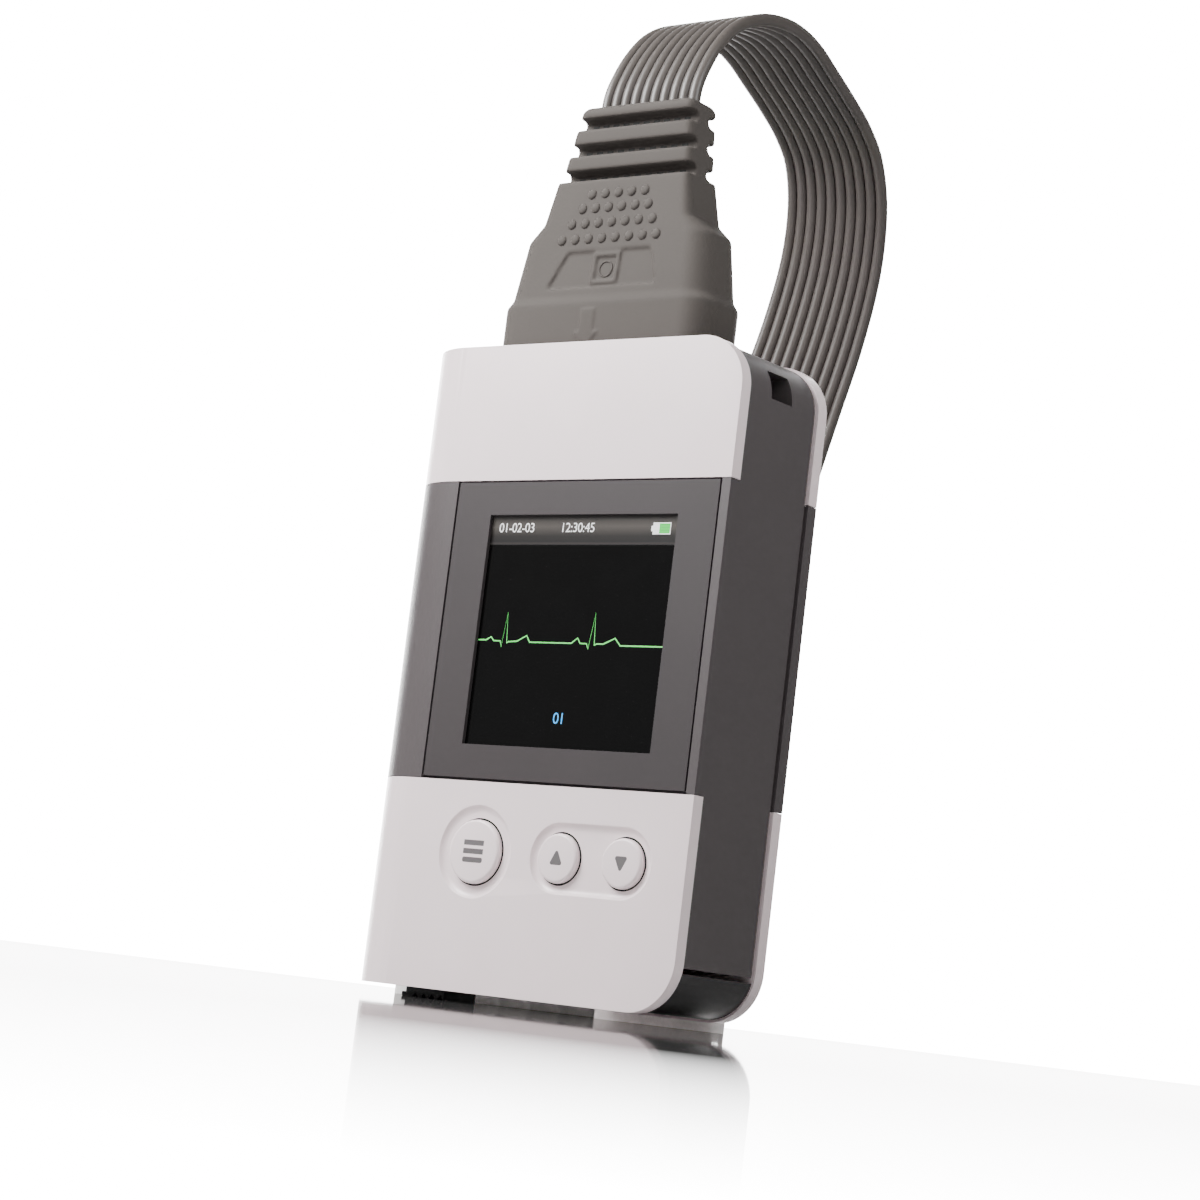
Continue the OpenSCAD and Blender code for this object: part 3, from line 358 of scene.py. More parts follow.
def slab(bm, corners, y0, y1, rounding=0):
    """A flat plate from depth y0 back to y1: its [x, z] corners can be rounded; in millimetres."""
    start = len(bm.edges)
    loop = [bm.verts.new((x * MM, y0 * MM, z * MM)) for x, z in corners]
    face = bm.faces.new(loop)
    grown = bmesh.ops.extrude_face_region(bm, geom=[face])
    moved = [v for v in grown["geom"] if isinstance(v, bmesh.types.BMVert)]
    bmesh.ops.translate(bm, verts=moved, vec=(0, (y1 - y0) * MM, 0))
    if rounding:
        bm.edges.ensure_lookup_table()
        deep = [e for e in bm.edges[start:] if abs(e.verts[0].co.y - e.verts[1].co.y) > 0.01 * MM]
        round_edges(bm, deep, rounding * MM)
    bmesh.ops.recalc_face_normals(bm, faces=bm.faces)


def soft_corners(corners, radius, steps=5):
    """A loop of [x, z] corners with each corner turned into an arc."""
    loop = []
    for i, at in enumerate(corners):
        at = Vector(at)
        back = (Vector(corners[i - 1]) - at).normalized()
        ahead = (Vector(corners[(i + 1) % len(corners)]) - at).normalized()
        half = back.angle(ahead) / 2
        middle = at + (back + ahead).normalized() * radius / math.sin(half)
        start = at + back * radius / math.tan(half) - middle
        end = at + ahead * radius / math.tan(half) - middle
        for k in range(steps + 1):
            loop.append(tuple(middle + start.slerp(end, k / steps) * radius))
    return loop


def taken_shape(holder):
    """A bmesh of what an object's modifiers or curve make; the object is used up."""
    bpy.context.view_layer.update()
    shaped = holder.evaluated_get(bpy.context.evaluated_depsgraph_get())
    mesh = bpy.data.meshes.new_from_object(shaped)
    bpy.data.objects.remove(holder)
    bm = bmesh.new()
    bm.from_mesh(mesh)
    bpy.data.meshes.remove(mesh)
    return bm


def round_line(name, points, radius, resolution):
    """A round curve of one open spline through points, in metres."""
    curve = bpy.data.curves.new(name, "CURVE")
    curve.dimensions = "3D"
    spline = curve.splines.new("POLY")
    spline.points.add(len(points) - 1)
    for point, at in zip(spline.points, points):
        point.co = (*at, 1)
    curve.bevel_depth = radius
    curve.bevel_resolution = resolution
    return curve


def mesh_from_curve(curve, place):
    """The mesh of a curve or text, moved to its place."""
    bm = taken_shape(new_object(curve.name, curve))
    bpy.data.curves.remove(curve)
    bmesh.ops.remove_doubles(bm, verts=bm.verts, dist=0.0005 * MM)
    bmesh.ops.transform(bm, matrix=place, verts=bm.verts)
    bmesh.ops.recalc_face_normals(bm, faces=bm.faces)
    return bm


def near_keys(p):
    """True for a point of the cover's front that lies in the field of the buttons."""
    left = edges_of("menu_button")[0] - DISH_MARGIN
    right = edges_of("down_button")[1] + DISH_MARGIN
    low, high = edges_of("menu_button")[4:]
    return left < p.x < right and low - DISH_MARGIN < p.z < high + DISH_MARGIN


def swept_dish(bm, first, last, width, steps=9):
    """Lets the dish round one or two keys sweep down in a curve; its width is in metres."""
    left, right, _, _, low, high = edges_of(first)
    x0, x1, z = (left + right) / 2 * MM, sum(edges_of(last)[:2]) / 2 * MM, (low + high) / 2 * MM

    def middle(p):
        return Vector((min(max(p.x, x0), x1), p.y, z))

    def in_dish(face):
        deep = face.calc_center_median().y > (CASE_FRONT + ON_PLANE) * MM
        near = all((v.co - middle(v.co)).length < DISH_REACH * MM for v in face.verts)
        return deep and near and face.normal.y < -0.3

    bm.normal_update()
    bmesh.ops.delete(bm, geom=[f for f in bm.faces if in_dish(f)], context="FACES")
    loops = [e for e in bm.edges if e.is_boundary]
    rims = [e for e in loops if e.verts[0].co.y > (CASE_FRONT + ON_PLANE) * MM]
    outer = [tuple(e.verts) for e in loops if e not in rims]
    depth = rims[0].verts[0].co.y - CASE_FRONT * MM
    above = {v: v for pair in outer for v in pair}
    for k in range(1, steps + 1):
        part = k / steps
        y = CASE_FRONT * MM + depth * (1 - (1 - part) ** DISH_CURVE)
        ring = {}
        for v in above:
            inward = middle(v.co) - v.co
            at = v.co + inward.normalized() * width * part
            ring[v] = bm.verts.new((at.x, y, at.z))
        for a, b in outer:
            bm.faces.new((above[a], above[b], ring[b], ring[a]))
        above = ring
    floor = [bm.edges.get((ring[a], ring[b])) for a, b in outer]
    bmesh.ops.triangle_fill(bm, edges=floor + rims, use_beauty=True, normal=(0, -1, 0))
    bmesh.ops.recalc_face_normals(bm, faces=bm.faces)
    round_edges(bm, [bm.edges.get(pair) for pair in outer], DISH_EDGE * MM, 2)


# -------- the cable's route, as in the part

# The ribbon: its wires and the distance from wire to wire
WIRES = 10
WIRE_PITCH = 1.9

# The free run from the plug: x, y, height above the case bottom, turn of its width about Z in
# degrees. The roll begins over its last point, at a height of its own.
ROUTE = [
    (0.25, 0, 140.7, 0), (0.25, 0.3, 143.3, 0), (0.25, 1.4, 146.3, 0), (0.25, 3.9, 150.8, 0),
    (0.25, 7.6, 155.1, 0), (0.25, 12.4, 158.3, 0), (0.25, 18.4, 160.4, 0), (0.2, 25, 161.1, 0),
    (0.1, 31, 160, 0), (-0.1, 37, 157.5, 0), (-0.3, 43, 154.8, 0), (-0.7, 49, 151.8, 1),
    (-1.5, 54.4, 147.8, 3), (-3, 59, 141, 7), (-5.2, 62, 131.5, 11), (-8.4, 63.4, 120, 16),
    (-11.8, 63.4, 108, 21), (-15, 62.9, 95, 26), (-17.8, 62.2, 81, 30), (-19.8, 61.6, 67, 33),
    (-21, 61.3, 53, 35), (-21.5, 61.2, 40, 35), (-21.6, 61.2, 28, 35)]
# Steps of the smooth curve from point to point
ROUTE_STEPS = 4

# The roll: turn of its plane about Z, turns in each half, steps in a turn and in a bend of the
# core, distance from turn to turn, radius of the core, lowest height, radius outside
ROLL_TURN = 35
ROLL_TURNS = 3
ROLL_STEPS = 24
BEND_STEPS = 8
ROLL_PITCH = 2.9
ROLL_CORE = 8
ROLL_LIFT = 1.7
ROLL_R = ROLL_CORE + ROLL_TURNS * 2 * ROLL_PITCH

# The lead tails: run along the ground, its steps, and how far the sleeves lie to the side,
# with the sleeves' diameter and distance
TAIL_RUN = 54
TAIL_STEPS = 12
TAIL_SHIFT = -22
SLEEVE_D = 4.8
SLEEVE_PITCH = SLEEVE_D + 0.8


def smooth_route():
    """Points of one smooth curve through the route, four numbers each."""
    points = [Vector(p) for p in ROUTE]
    last = len(points) - 1
    out = []
    for i in range(last):
        a, b, c, d = (points[max(0, min(last, j))] for j in (i - 1, i, i + 1, i + 2))
        for j in range(ROUTE_STEPS):
            s = j / ROUTE_STEPS
            out.append(b + (c - a) * s / 2 + (2 * a - 5 * b + 4 * c - d) * s * s / 2
                       + (3 * b - a - 3 * c + d) * s ** 3 / 2)
    out.append(points[last])
    return out


def turned(radius, degrees):
    """The point at a radius and an angle, as across and up."""
    return radius * math.cos(math.radians(degrees)), radius * math.sin(math.radians(degrees))


def roll_path():
    """The roll in its own upright plane: in to the core, round the bend, and out again."""
    path = []
    for i in range(ROLL_TURNS * ROLL_STEPS + 1):
        path.append(turned(ROLL_R - 2 * ROLL_PITCH * i / ROLL_STEPS, -360 * i / ROLL_STEPS))
    half = ROLL_CORE / 2
    bend = 180 / BEND_STEPS
    for i in range(1, BEND_STEPS + 1):
        x, z = turned(half, -bend * i)
        path.append((half + x, z))
    for i in range(1, BEND_STEPS):
        x, z = turned(half, bend * i)
        path.append((x - half, z))
    # The way out takes a quarter turn more, so that it ends under the roll
    for i in range(ROLL_TURNS * ROLL_STEPS + ROLL_STEPS // 4 + 1):
        path.append(turned(ROLL_CORE + 2 * ROLL_PITCH * i / ROLL_STEPS, 180 + 360 * i / ROLL_STEPS))
    return path


def wire_line(index, wire):
    """The centre line of one wire in metres, from the plug to its sleeve."""
    place = index - (WIRES - 1) / 2
    offset = place * WIRE_PITCH
    ribbon = []
    for x, y, z, turn in smooth_route():
        ribbon.append((Vector((x, y + CASE_MIDDLE, z + CASE_BOTTOM)), turn))
    end = ribbon[-1][0]
    along = Vector((-math.sin(math.radians(ROLL_TURN)), math.cos(math.radians(ROLL_TURN)), 0))
    across = Vector((along.y, -along.x, 0))
    centre = Vector((end.x, end.y, 0)) - along * ROLL_R
    centre.z = ROLL_LIFT + ROLL_R + ROLL_PITCH / 2 + WIRE_PITCH / 2
    middle = [(point, Vector((math.cos(math.radians(turn)), math.sin(math.radians(turn)), 0)))
              for point, turn in ribbon[:-1]]
    middle += [(centre + along * x + Vector((0, 0, z)), across) for x, z in roll_path()]
    line = []
    for i, (point, width) in enumerate(middle):
        heading = (middle[min(i + 1, len(middle) - 1)][0] - middle[max(i - 1, 0)][0]).normalized()
        sideways = (width - heading * width.dot(heading)).normalized()
        line.append(point + sideways * offset)
    # The tails fan out on the ground, and rise to their sleeves' middles at the end
    foot = Vector((centre.x, centre.y, 0))
    for j in range(1, TAIL_STEPS + 1):
        run = j / TAIL_STEPS
        fan = (1 - math.cos(math.pi * run)) / 2
        side = place * WIRE_PITCH * (1 - fan) + (place * SLEEVE_PITCH + TAIL_SHIFT) * fan
        height = ROLL_LIFT + wire / 2 + (SLEEVE_D - wire) / 2 * max(0, fan * 4 - 3)
        line.append(foot + along * TAIL_RUN * run + across * side + Vector((0, 0, height)))
    return [p * MM for p in line]


# -------- operators

class HOLTER_OT_camera(bpy.types.Operator):
    """Places the camera at the photograph's viewing angle"""
    bl_idname = "holter.camera"
    bl_label = "Camera"

    def execute(self, context):
        s = context.scene.holter_camera
        away = Vector((math.sin(s.azimuth) * math.cos(s.elevation),
                       -math.cos(s.azimuth) * math.cos(s.elevation), math.sin(s.elevation)))
        right = (-away).cross(Vector((0, 0, 1))).normalized()
        up = right.cross(-away)
        tilt = Matrix.Rotation(s.roll, 3, away)
        right, up = tilt @ right, tilt @ up
        corner = Vector((CASE_LEFT * MM, CASE_FRONT * MM, CASE_BOTTOM * MM))
        camera = bpy.data.cameras.new("camera")
        camera.lens = s.lens
        camera.sensor_width = 36
        camera.clip_start = 0.005
        camera.clip_end = 50
        seat = new_object("camera", camera)
        turn = Matrix((right, up, away)).transposed().to_4x4()
        place = corner + Vector(s.look_at) + away * s.distance
        seat.matrix_world = Matrix.Translation(place) @ turn
        context.scene.camera = seat
        return {"FINISHED"}


class HOLTER_OT_cable(bpy.types.Operator):
    """Lays the ten wires of the patient cable from the plug to their sleeves"""
    bl_idname = "holter.cable"
    bl_label = "Patient Cable"

    # The comb's edges: rounding, and the height up to which they stay plain
    COMB_EDGE = 0.5
    COMB_FOOT = 1

    def execute(self, context):
        s = context.scene.holter_cable
        wire = s.wire / MM
        # Extruded soft PVC: warm dark grey, satin, a little uneven along the wire
        jacket = moulded_plastic(
            "pvc wire jacket", s.jacket, 0.42, grain_mm=0.3, relief=0.01, spread=0.04)
        comb = self.comb()
        for index in range(WIRES):
            line = wire_line(index, wire)
            name = "wire_%02d" % (index + 1)
            curve = round_line(name, line, wire / 2 * MM, 3)
            curve.use_fill_caps = True
            curve.materials.append(jacket)
            cord = new_object(name, curve)
            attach(cord, "plug")
            carried = [NODES[n] for n in ("lead_sleeves", "lead_contacts")]
            if index == 0:
                carried += [NODES["roll_tie"], comb]
            if index == 0:
                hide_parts("patient_ribbon", "ribbon_roll", "lead_tails")
        return {"FINISHED"}

    def comb(self):
        """The block that holds the lead ends side by side: a closed shell with rounded edges"""
        # Moulded nylon: plain white, satin
        nylon = moulded_plastic(
            "moulded nylon white", "F0EEEC", 0.5, grain_mm=0.2, relief=0.01, spread=0.02)
        bm = merged_copy("lead_comb")
        made = bmesh.ops.convex_hull(bm, input=bm.verts)
        shell = {f for f in made["geom"] if isinstance(f, bmesh.types.BMFace)}
        bmesh.ops.delete(bm, geom=[f for f in bm.faces if f not in shell], context="FACES")
        bmesh.ops.delete(bm, geom=[v for v in bm.verts if not v.link_faces], context="VERTS")
        bmesh.ops.dissolve_limit(bm, angle_limit=math.radians(1), verts=bm.verts, edges=bm.edges)
        bmesh.ops.recalc_face_normals(bm, faces=bm.faces)
        round_edges(bm, sharp_edges(bm, lambda p: p.z > self.COMB_FOOT), self.COMB_EDGE * MM, 3)
        piece = finish_piece("lead_comb_block", bm, nylon, "plug")
        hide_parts("lead_comb")
        return piece


class HOLTER_OT_covers(bpy.types.Operator):
    """Finishes the four white covers with soft rims"""
    bl_idname = "holter.covers"
    bl_label = "White Covers"

    def execute(self, context):
        s = context.scene.holter_shell
        # Moulded ABS from a smooth tool: even warm white, soft highlights along the rims
        white = moulded_plastic(
            "moulded abs cover white", s.white, 0.32, grain_mm=0.25, relief=0.004, spread=0.01)
        for node in ("front_upper_cover", "front_lower_cover", "rear_upper_cover",
                     "rear_lower_cover"):
            low, high = edges_of(node)[4:]
            bm = merged_copy(node)
            face = CASE_FRONT if node.startswith("front") else CASE_BACK
            # Upper and lower covers stay sharp where they meet
            seam = high if "lower" in node else low

            def rim(p):
                return (abs(p.y - face) < ON_PLANE and abs(p.z - seam) > 2 * ON_PLANE
                        and not near_keys(p))

            round_edges(bm, sharp_edges(bm, rim), s.rim, 8)
            if node == "front_lower_cover":
                swept_dish(bm, "menu_button", "menu_button", s.dish)
                swept_dish(bm, "up_button", "down_button", s.dish)
            piece = finish_piece(
                node + "_skin", bm, white, "recorder", smooth_angle=13)
            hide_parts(node)
        return {"FINISHED"}


class HOLTER_OT_grey_parts(bpy.types.Operator):
    """Finishes the middle frame, lanyard corner, rear band and display panel"""
    bl_idname = "holter.grey_parts"
    bl_label = "Grey Parts"

    def execute(self, context):
        s = context.scene.holter_shell
        # Moulded ABS, dark grey, satin from a fine spark-eroded tool
        grey = moulded_plastic(
            "moulded abs frame grey", s.grey, 0.42, grain_mm=0.18, relief=0.012, spread=0.02)
        paint(grey, "mid_frame", "lanyard_corner", "rear_band")
        # Moulded panel under a matt coat: near black, hardly any shine
        panel = moulded_plastic(
            "matt coated panel", s.panel, 0.55, grain_mm=0.2, relief=0.01, spread=0.015, shine=0.25)
        paint(panel, "display_panel")
        return {"FINISHED"}


class HOLTER_OT_display(bpy.types.Operator):
    """Finishes the glass and draws a plain heart trace, digits and a charge sign on it"""
    bl_idname = "holter.display"
    bl_label = "Display"

    # The picture's distance from the glass's edge, and the height of its status bar
    RIM = 1.1
    BAR = 4.6
    # The trace: radius of its line, and how flat it is pressed
    TRACE_R = 0.13
    TRACE_FLAT = 0.15
    # Two plain heart beats: distance from the picture's left and height above its bottom
    BEATS = [
        (0.1, 16.2), (1.7, 16.2), (2.6, 16.7), (3.2, 16.1), (4.5, 16.1), (4.8, 15.2), (5.4, 20.5),
        (5.8, 15.8), (6.1, 16), (7.8, 16.1), (9.6, 17), (10.3, 16), (18.4, 16), (19.5, 16.8),
        (20.1, 16), (21.3, 16), (21.7, 15.2), (22.4, 20.6), (22.8, 15.8), (23.3, 16), (24.5, 16),
        (26.6, 16.9), (27.7, 15.8), (35.8, 15.8)]
    # The charge sign likewise: its outline with the small pole, and its filling
    CHARGE_OUTLINE = [(31.2, 32.6), (34.5, 32.6), (34.5, 34.4), (31.2, 34.4),
                      (31.2, 33.9), (30.9, 33.9), (30.9, 33.1), (31.2, 33.1)]
    CHARGE_FILL = [(32.4, 32.75), (34.35, 32.75), (34.35, 34.25), (32.4, 34.25)]

    def execute(self, context):
        s = context.scene.holter_screen
        # Cover glass with the dark display bonded behind it: near black with a clear shine
        glass = moulded_plastic(
            "bonded cover glass", s.ground, 0.16, grain_mm=4.0, relief=0.0, spread=0.03, shine=0.3)
        paint(glass, "display_glass")
        left, right, face, _, low, high = edges_of("display_glass")
        left, right, low, high = left + self.RIM, right - self.RIM, low + self.RIM, high - self.RIM
        self.draw_bar(left, right, high, face)
        self.draw_trace(s, left, low, face)
        self.draw_signs(s, left, low, face)
        return {"FINISHED"}

    def draw_bar(self, left, right, high, face):
        """The status bar's plate with its soft light band"""
        low = high - self.BAR
        # Dim display pixels: a warm grey band over a thin brighter line
        material, tree = new_material("lit status bar")
        split = add(tree, "ShaderNodeSeparateXYZ", {"Vector": position(tree)})
        fac = add(tree, "ShaderNodeMapRange", {
            "Value": split.outputs["Z"], "From Min": low * MM, "From Max": high * MM})
        tone = ramp(tree, fac.outputs["Result"], [
            (0.0, "141313"), (0.06, "2E2B2A"), (0.1, "1A1919"), (0.3, "201E1D"), (0.62, "433F3C"),
            (0.8, "393633"), (1.0, "201E1E")])
        glowing(tree, tone, 0.3, 0.15)
        bm = bmesh.new()
        slab(bm, [(left, low), (right, low), (right, high), (left, high)], face - 0.01, face)
        self.lay("status_bar", bm, material)

    def draw_trace(self, s, left, low, face):
        """The heart beats' line across the screen"""
        points = [((left + u) * MM, 0, (low + v) * MM) for u, v in self.BEATS]
        curve = round_line("heart_trace", points, self.TRACE_R * MM, 1)
        place = (Matrix.Translation((0, (face - 0.012) * MM, 0))
                 @ Matrix.Scale(self.TRACE_FLAT, 4, (0, 1, 0)))
        self.lay("heart_trace", mesh_from_curve(curve, place),
                 lit_pixels("lit trace pixels", s.trace, 0.8))

    def draw_signs(self, s, left, low, face):
        """Plain digits above and below the trace, and the charge sign"""
        white = lit_pixels("lit white pixels", "E8E8E8", 0.5)
        blue = lit_pixels("lit label pixels", s.label, 0.8)
        green = lit_pixels("lit green pixels", "35B54A", 0.6)
        self.write("clock_digits", "01-02-03", left + 1.5, low + 33.0, 2.05, face, white)
        self.write("second_digits", "12:30:45", left + 13.6, low + 33.0, 2.05, face, white)
        self.write("channel_digit", "01", left + 16.6, low + 3.8, 2.4, face, blue)
        for name, corners, material, front, back in (
                ("charge_outline", self.CHARGE_OUTLINE, white, 0.025, 0.01),
                ("charge_fill", self.CHARGE_FILL, green, 0.03, 0.02)):
            bm = bmesh.new()
            slab(bm, [(left + u, low + v) for u, v in corners], face - front, face - back)
            self.lay(name, bm, material)

    def write(self, name, text, x, z, size, face, material):
        """A line of digits just in front of the glass, from its left end at x, z"""
        curve = bpy.data.curves.new(name, "FONT")
        curve.body = text
        curve.size = size * MM
        curve.extrude = 0.004 * MM
        curve.space_character = 0.95
        place = (Matrix.Translation((x * MM, (face - 0.02) * MM, z * MM))
                 @ Matrix.Rotation(math.pi / 2, 4, "X"))
        self.lay(name, mesh_from_curve(curve, place), material)

    def lay(self, name, bm, material):
        """Makes a piece of the picture"""
        finish_piece(name, bm, material, "recorder")


class HOLTER_OT_buttons(bpy.types.Operator):
    """Finishes the three buttons and their printed signs"""
    bl_idname = "holter.buttons"
    bl_label = "Buttons"

    # Width of a button's hidden flange, and of the gap round its cap
    FLANGE = 0.9
    GAP = 0.25
    # Painted shade in a key's gap, a black ring: gap to the cap, reach under the cover, top and
    # foot from the dish's floor
    GAP_SHADE = (0.03, 0.04, -0.02, 0.3)
    # The printed signs: an arrow's half width, foot and tip, a bar's half width and half height,
    # the distance from bar to bar, the rounding of corners, and the ink's height on the button
    ARROW = (1.28, 1.02, 1.44)
    BAR = (1.95, 0.4)
    BAR_STEP = 1.3
    SIGN_CORNER = 0.3
    INK = 0.012

    def execute(self, context):
        s = context.scene.holter_shell
        # Moulded ABS like the covers, a shade brighter
        white = moulded_plastic("moulded abs button white", shade(s.white, 1.01), 0.34,
                                grain_mm=0.25, relief=0.004, spread=0.01)
        # Pad printing ink: grey, dull, a thin film
        ink = moulded_plastic(
            "pad printed grey ink", "5C5859", 0.5, grain_mm=0.1, relief=0.002, spread=0.03)
        # Painted shade: a black, dull ring that darkens the gap round each key
        rubber = moulded_plastic("black painted gap shade", "0B0B0B", 0.7, relief=0.01, shine=0.3)
        for name in ("menu", "up", "down"):
            node = name + "_button"
            left, right, face, _, low, high = edges_of(node)
            bm = merged_copy(node)
            round_edges(bm, sharp_edges(bm, lambda p: abs(p.y - face) < ON_PLANE), s.cap, 6)
            piece = finish_piece(
                node + "_cap", bm, white, name + "_key", smooth_angle=20)
            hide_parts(node)
            x, z = (left + right) / 2, (low + high) / 2
            # A black ring of painted shade fills the gap round the key, level with the dish's floor
            cap_r = (right - left) / 2 - self.FLANGE
            floor = CASE_FRONT + DISH_DEPTH
            bm = bmesh.new()
            gap, reach, top, foot = self.GAP_SHADE
            self.washer(bm, x, z, cap_r + gap, cap_r + self.GAP + reach, floor + top, floor + foot)
            finish_piece(name + "_gap_shade", bm, rubber, "recorder")
            bm = bmesh.new()
            if name == "menu":
                w, h = self.BAR
                for up in (-self.BAR_STEP, 0, self.BAR_STEP):
                    bar = [(x + u, z + up + v) for u, v in ((-w, -h), (w, -h), (w, h), (-w, h))]
                    slab(bm, bar, face - self.INK, face + 0.018, self.SIGN_CORNER)
            else:
                way = 1 if name == "up" else -1
                w, foot, tip = self.ARROW
                arrow = [(x - w, z - foot * way), (x + w, z - foot * way), (x, z + tip * way)]
                slab(bm, soft_corners(arrow, self.SIGN_CORNER), face - self.INK, face + 0.02)
            finish_piece(name + "_sign", bm, ink, name + "_key")
        return {"FINISHED"}

    def washer(self, bm, x, z, inner, outer, y0, y1):
        """A flat ring round a key's axis"""
        corners = ((inner, y0), (outer, y0), (outer, y1), (inner, y1))
        loop = [bm.verts.new(((x + r) * MM, y * MM, z * MM)) for r, y in corners]
        edges = [bm.edges.new((loop[i], loop[(i + 1) % 4])) for i in range(4)]
        bmesh.ops.spin(bm, geom=loop + edges, cent=(x * MM, 0, z * MM), axis=(0, 1, 0),
                       angle=2 * math.pi, steps=64, use_merge=True)
        bmesh.ops.recalc_face_normals(bm, faces=bm.faces)


class HOLTER_OT_door(bpy.types.Operator):
    """Finishes the battery door, its latch and what they hold"""
    bl_idname = "holter.door"
    bl_label = "Battery Door"

    def execute(self, context):
        # Moulded ABS from a polished tool: near black with a clear shine
        gloss = moulded_plastic("polished abs door black", "1E1C1D", 0.3, grain_mm=0.8,
                                relief=0.002, spread=0.03, shine=0.4)
        paint(gloss, "battery_door")
        # Moulded POM, black, satin where fingers slide it
        matt = moulded_plastic("moulded pom latch black", "131313", 0.4, grain_mm=0.15,
                               relief=0.01, spread=0.05)
        paint(matt, "door_latch", "latch_keeper")
        # Spring steel with a bright, warm nickel plating
        nickel = sheet_metal("nickel plated spring steel", "C9C6BD", 0.25)
        paint(nickel, "door_contact", "door_spring")
        return {"FINISHED"}


class HOLTER_OT_plug(bpy.types.Operator):
    """Finishes the plug with soft edges, grip bumps, a ring sign and black slabs of painted shade
    in its grooves
    """
    bl_idname = "holter.plug"
    bl_label = "Plug"

    # All from the case's left, front and bottom. Grip bumps, row by row: z, first and last x, count
    ROWS = [(125.75, 27.0, 37.4, 5), (123.4, 25.6, 38.5, 6),
            (120.9, 24.0, 39.8, 7), (118.3, 22.56, 41.08, 8)]
    # The sunk plate's and the arrow's least and greatest x and z, and their greatest y
    PLATE = (18, 45, 109, 117.6)
    ARROW = (26, 36, 99.8, 107.6)
    SIGN_DEPTH = 9
    # The ring in the plate's frame: x and z of its middle, radius, radius of its line
    RING = (32.1, 113.2)
    RING_R = 1.25
    RING_LINE = 0.16
    # Black slabs of painted shade in the strain relief's grooves: z, middle x, distance apart;
    # their width and height
    SLOT_ROWS = [(128.8, 32.1, 2.2), (133.1, 32.4, 2.1), (137.4, 32.7, 2.0)]
    SLOT_W = 1.2
    SLOT_H = 0.7

    def execute(self, context):
        s = context.scene.holter_plug
        # Soft PVC moulded over the plug: warm grey, satin, no grain to speak of
        soft = moulded_plastic("overmoulded pvc grey", s.colour, 0.75, grain_mm=0.2,
                               relief=0.006, spread=0.02, shine=0.12)
        skin = self.softened(("plug_collar", "plug_hood"), s)
        tree = BVHTree.FromBMesh(skin)
        piece = finish_piece("plug_skin", skin, soft, "plug", smooth_angle=60)
        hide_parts("plug_collar", "plug_hood")
        self.bumps(s, tree, soft)
        self.ring_sign(tree, soft)
        self.slots(tree)
        return {"FINISHED"}

    def softened(self, nodes, s):
        """The CAD nodes' shape remade as one even skin whose edges are smoothed round, in metres"""
        bm = bmesh.new()
        for node in nodes:
            bm.from_mesh(NODES[node].data)
        bmesh.ops.remove_doubles(bm, verts=bm.verts, dist=WELD * MM)
        mesh = bpy.data.meshes.new("plug")
        bm.to_mesh(mesh)
        bm.free()
        holder = new_object("plug_holder", mesh)
        even = holder.modifiers.new("even skin", "REMESH")
        even.mode = "VOXEL"
        even.voxel_size = s.skin
        bm = taken_shape(holder)
        bpy.data.meshes.remove(mesh)
        plain = [v for v in bm.verts if not self.by_sign(v.co)]
        for chosen, passes in ((bm.verts, s.sign_softness), (plain, s.softness)):
            for _ in range(passes):
                bmesh.ops.smooth_vert(bm, verts=chosen, factor=0.5,
                                      use_axis_x=True, use_axis_y=True, use_axis_z=True)
        return bm

    def by_sign(self, at):
        """True for a point in metres at the sunk plate or the arrow in the plug's front"""
        x, y, z = at.x / MM - CASE_LEFT, at.y / MM - CASE_FRONT, at.z / MM - CASE_BOTTOM
        return y < self.SIGN_DEPTH and any(
            left < x < right and low < z < high
            for left, right, low, high in (self.PLATE, self.ARROW))

    def front_of(self, tree, x, z):
        """The point of the skin's front at x, z, and its normal"""
        # The ray starts well in front of the plug
        start = Vector(((CASE_LEFT + x) * MM, (CASE_FRONT - 20) * MM, (CASE_BOTTOM + z) * MM))
        point, normal, _, _ = tree.ray_cast(start, Vector((0, 1, 0)))
        return point, normal

    def bumps(self, s, tree, material):
        """Rows of low round bumps, sunk to their middles in the hood's front"""
        bm = bmesh.new()
        flat = Matrix.Diagonal((s.bump / 2, s.bump / 2, s.bump_height, 1))
        for z, first, last, count in self.ROWS:
            for i in range(count):
                x = first + (last - first) * i / (count - 1)
                point, normal = self.front_of(tree, x, z)
                bmesh.ops.create_uvsphere(bm, u_segments=16, v_segments=10, radius=1,
                                          matrix=facing(point, normal) @ flat)
        finish_piece("grip_bumps", bm, material, "plug", smooth_angle=60)

    def ring_sign(self, tree, material, points=24):
        """A plain ring in the plate's square frame, laid on the skin"""
        loop = []
        for i in range(points):
            u, v = turned(self.RING_R, 360 * i / points)
            point, normal = self.front_of(tree, self.RING[0] + u, self.RING[1] + v)
            loop.append(point + normal * 0.02 * MM)
        curve = round_line("looped_sign", loop, self.RING_LINE * MM, 2)
        curve.splines[0].use_cyclic_u = True
        bm = mesh_from_curve(curve, Matrix())
        finish_piece("looped_sign", bm, material, "plug", smooth_angle=60)

    def slots(self, tree):
        """Short black slabs low in the front of each groove, as many as wires: painted shade where
        the grooves' openings look dark
        """
        # Painted shade: black, dull slabs on the soft PVC where its openings lie in shadow
        dark = moulded_plastic("painted slot shade", "0C0B0B", 0.7, relief=0.0)
        bm = bmesh.new()
        for z, middle, step in self.SLOT_ROWS:
            for i in range(WIRES):
                x = middle + (i - (WIRES - 1) / 2) * step
                point, _ = self.front_of(tree, x, z + 0.45)
                y = point.y / MM
                left, low = CASE_LEFT + x - self.SLOT_W / 2, CASE_BOTTOM + z
                right, high = left + self.SLOT_W, low + self.SLOT_H
                corners = [(left, low), (right, low), (right, high), (left, high)]
                slab(bm, corners, y - 0.02, y + 0.4)
        finish_piece("groove_slot_shade", bm, dark, "plug")


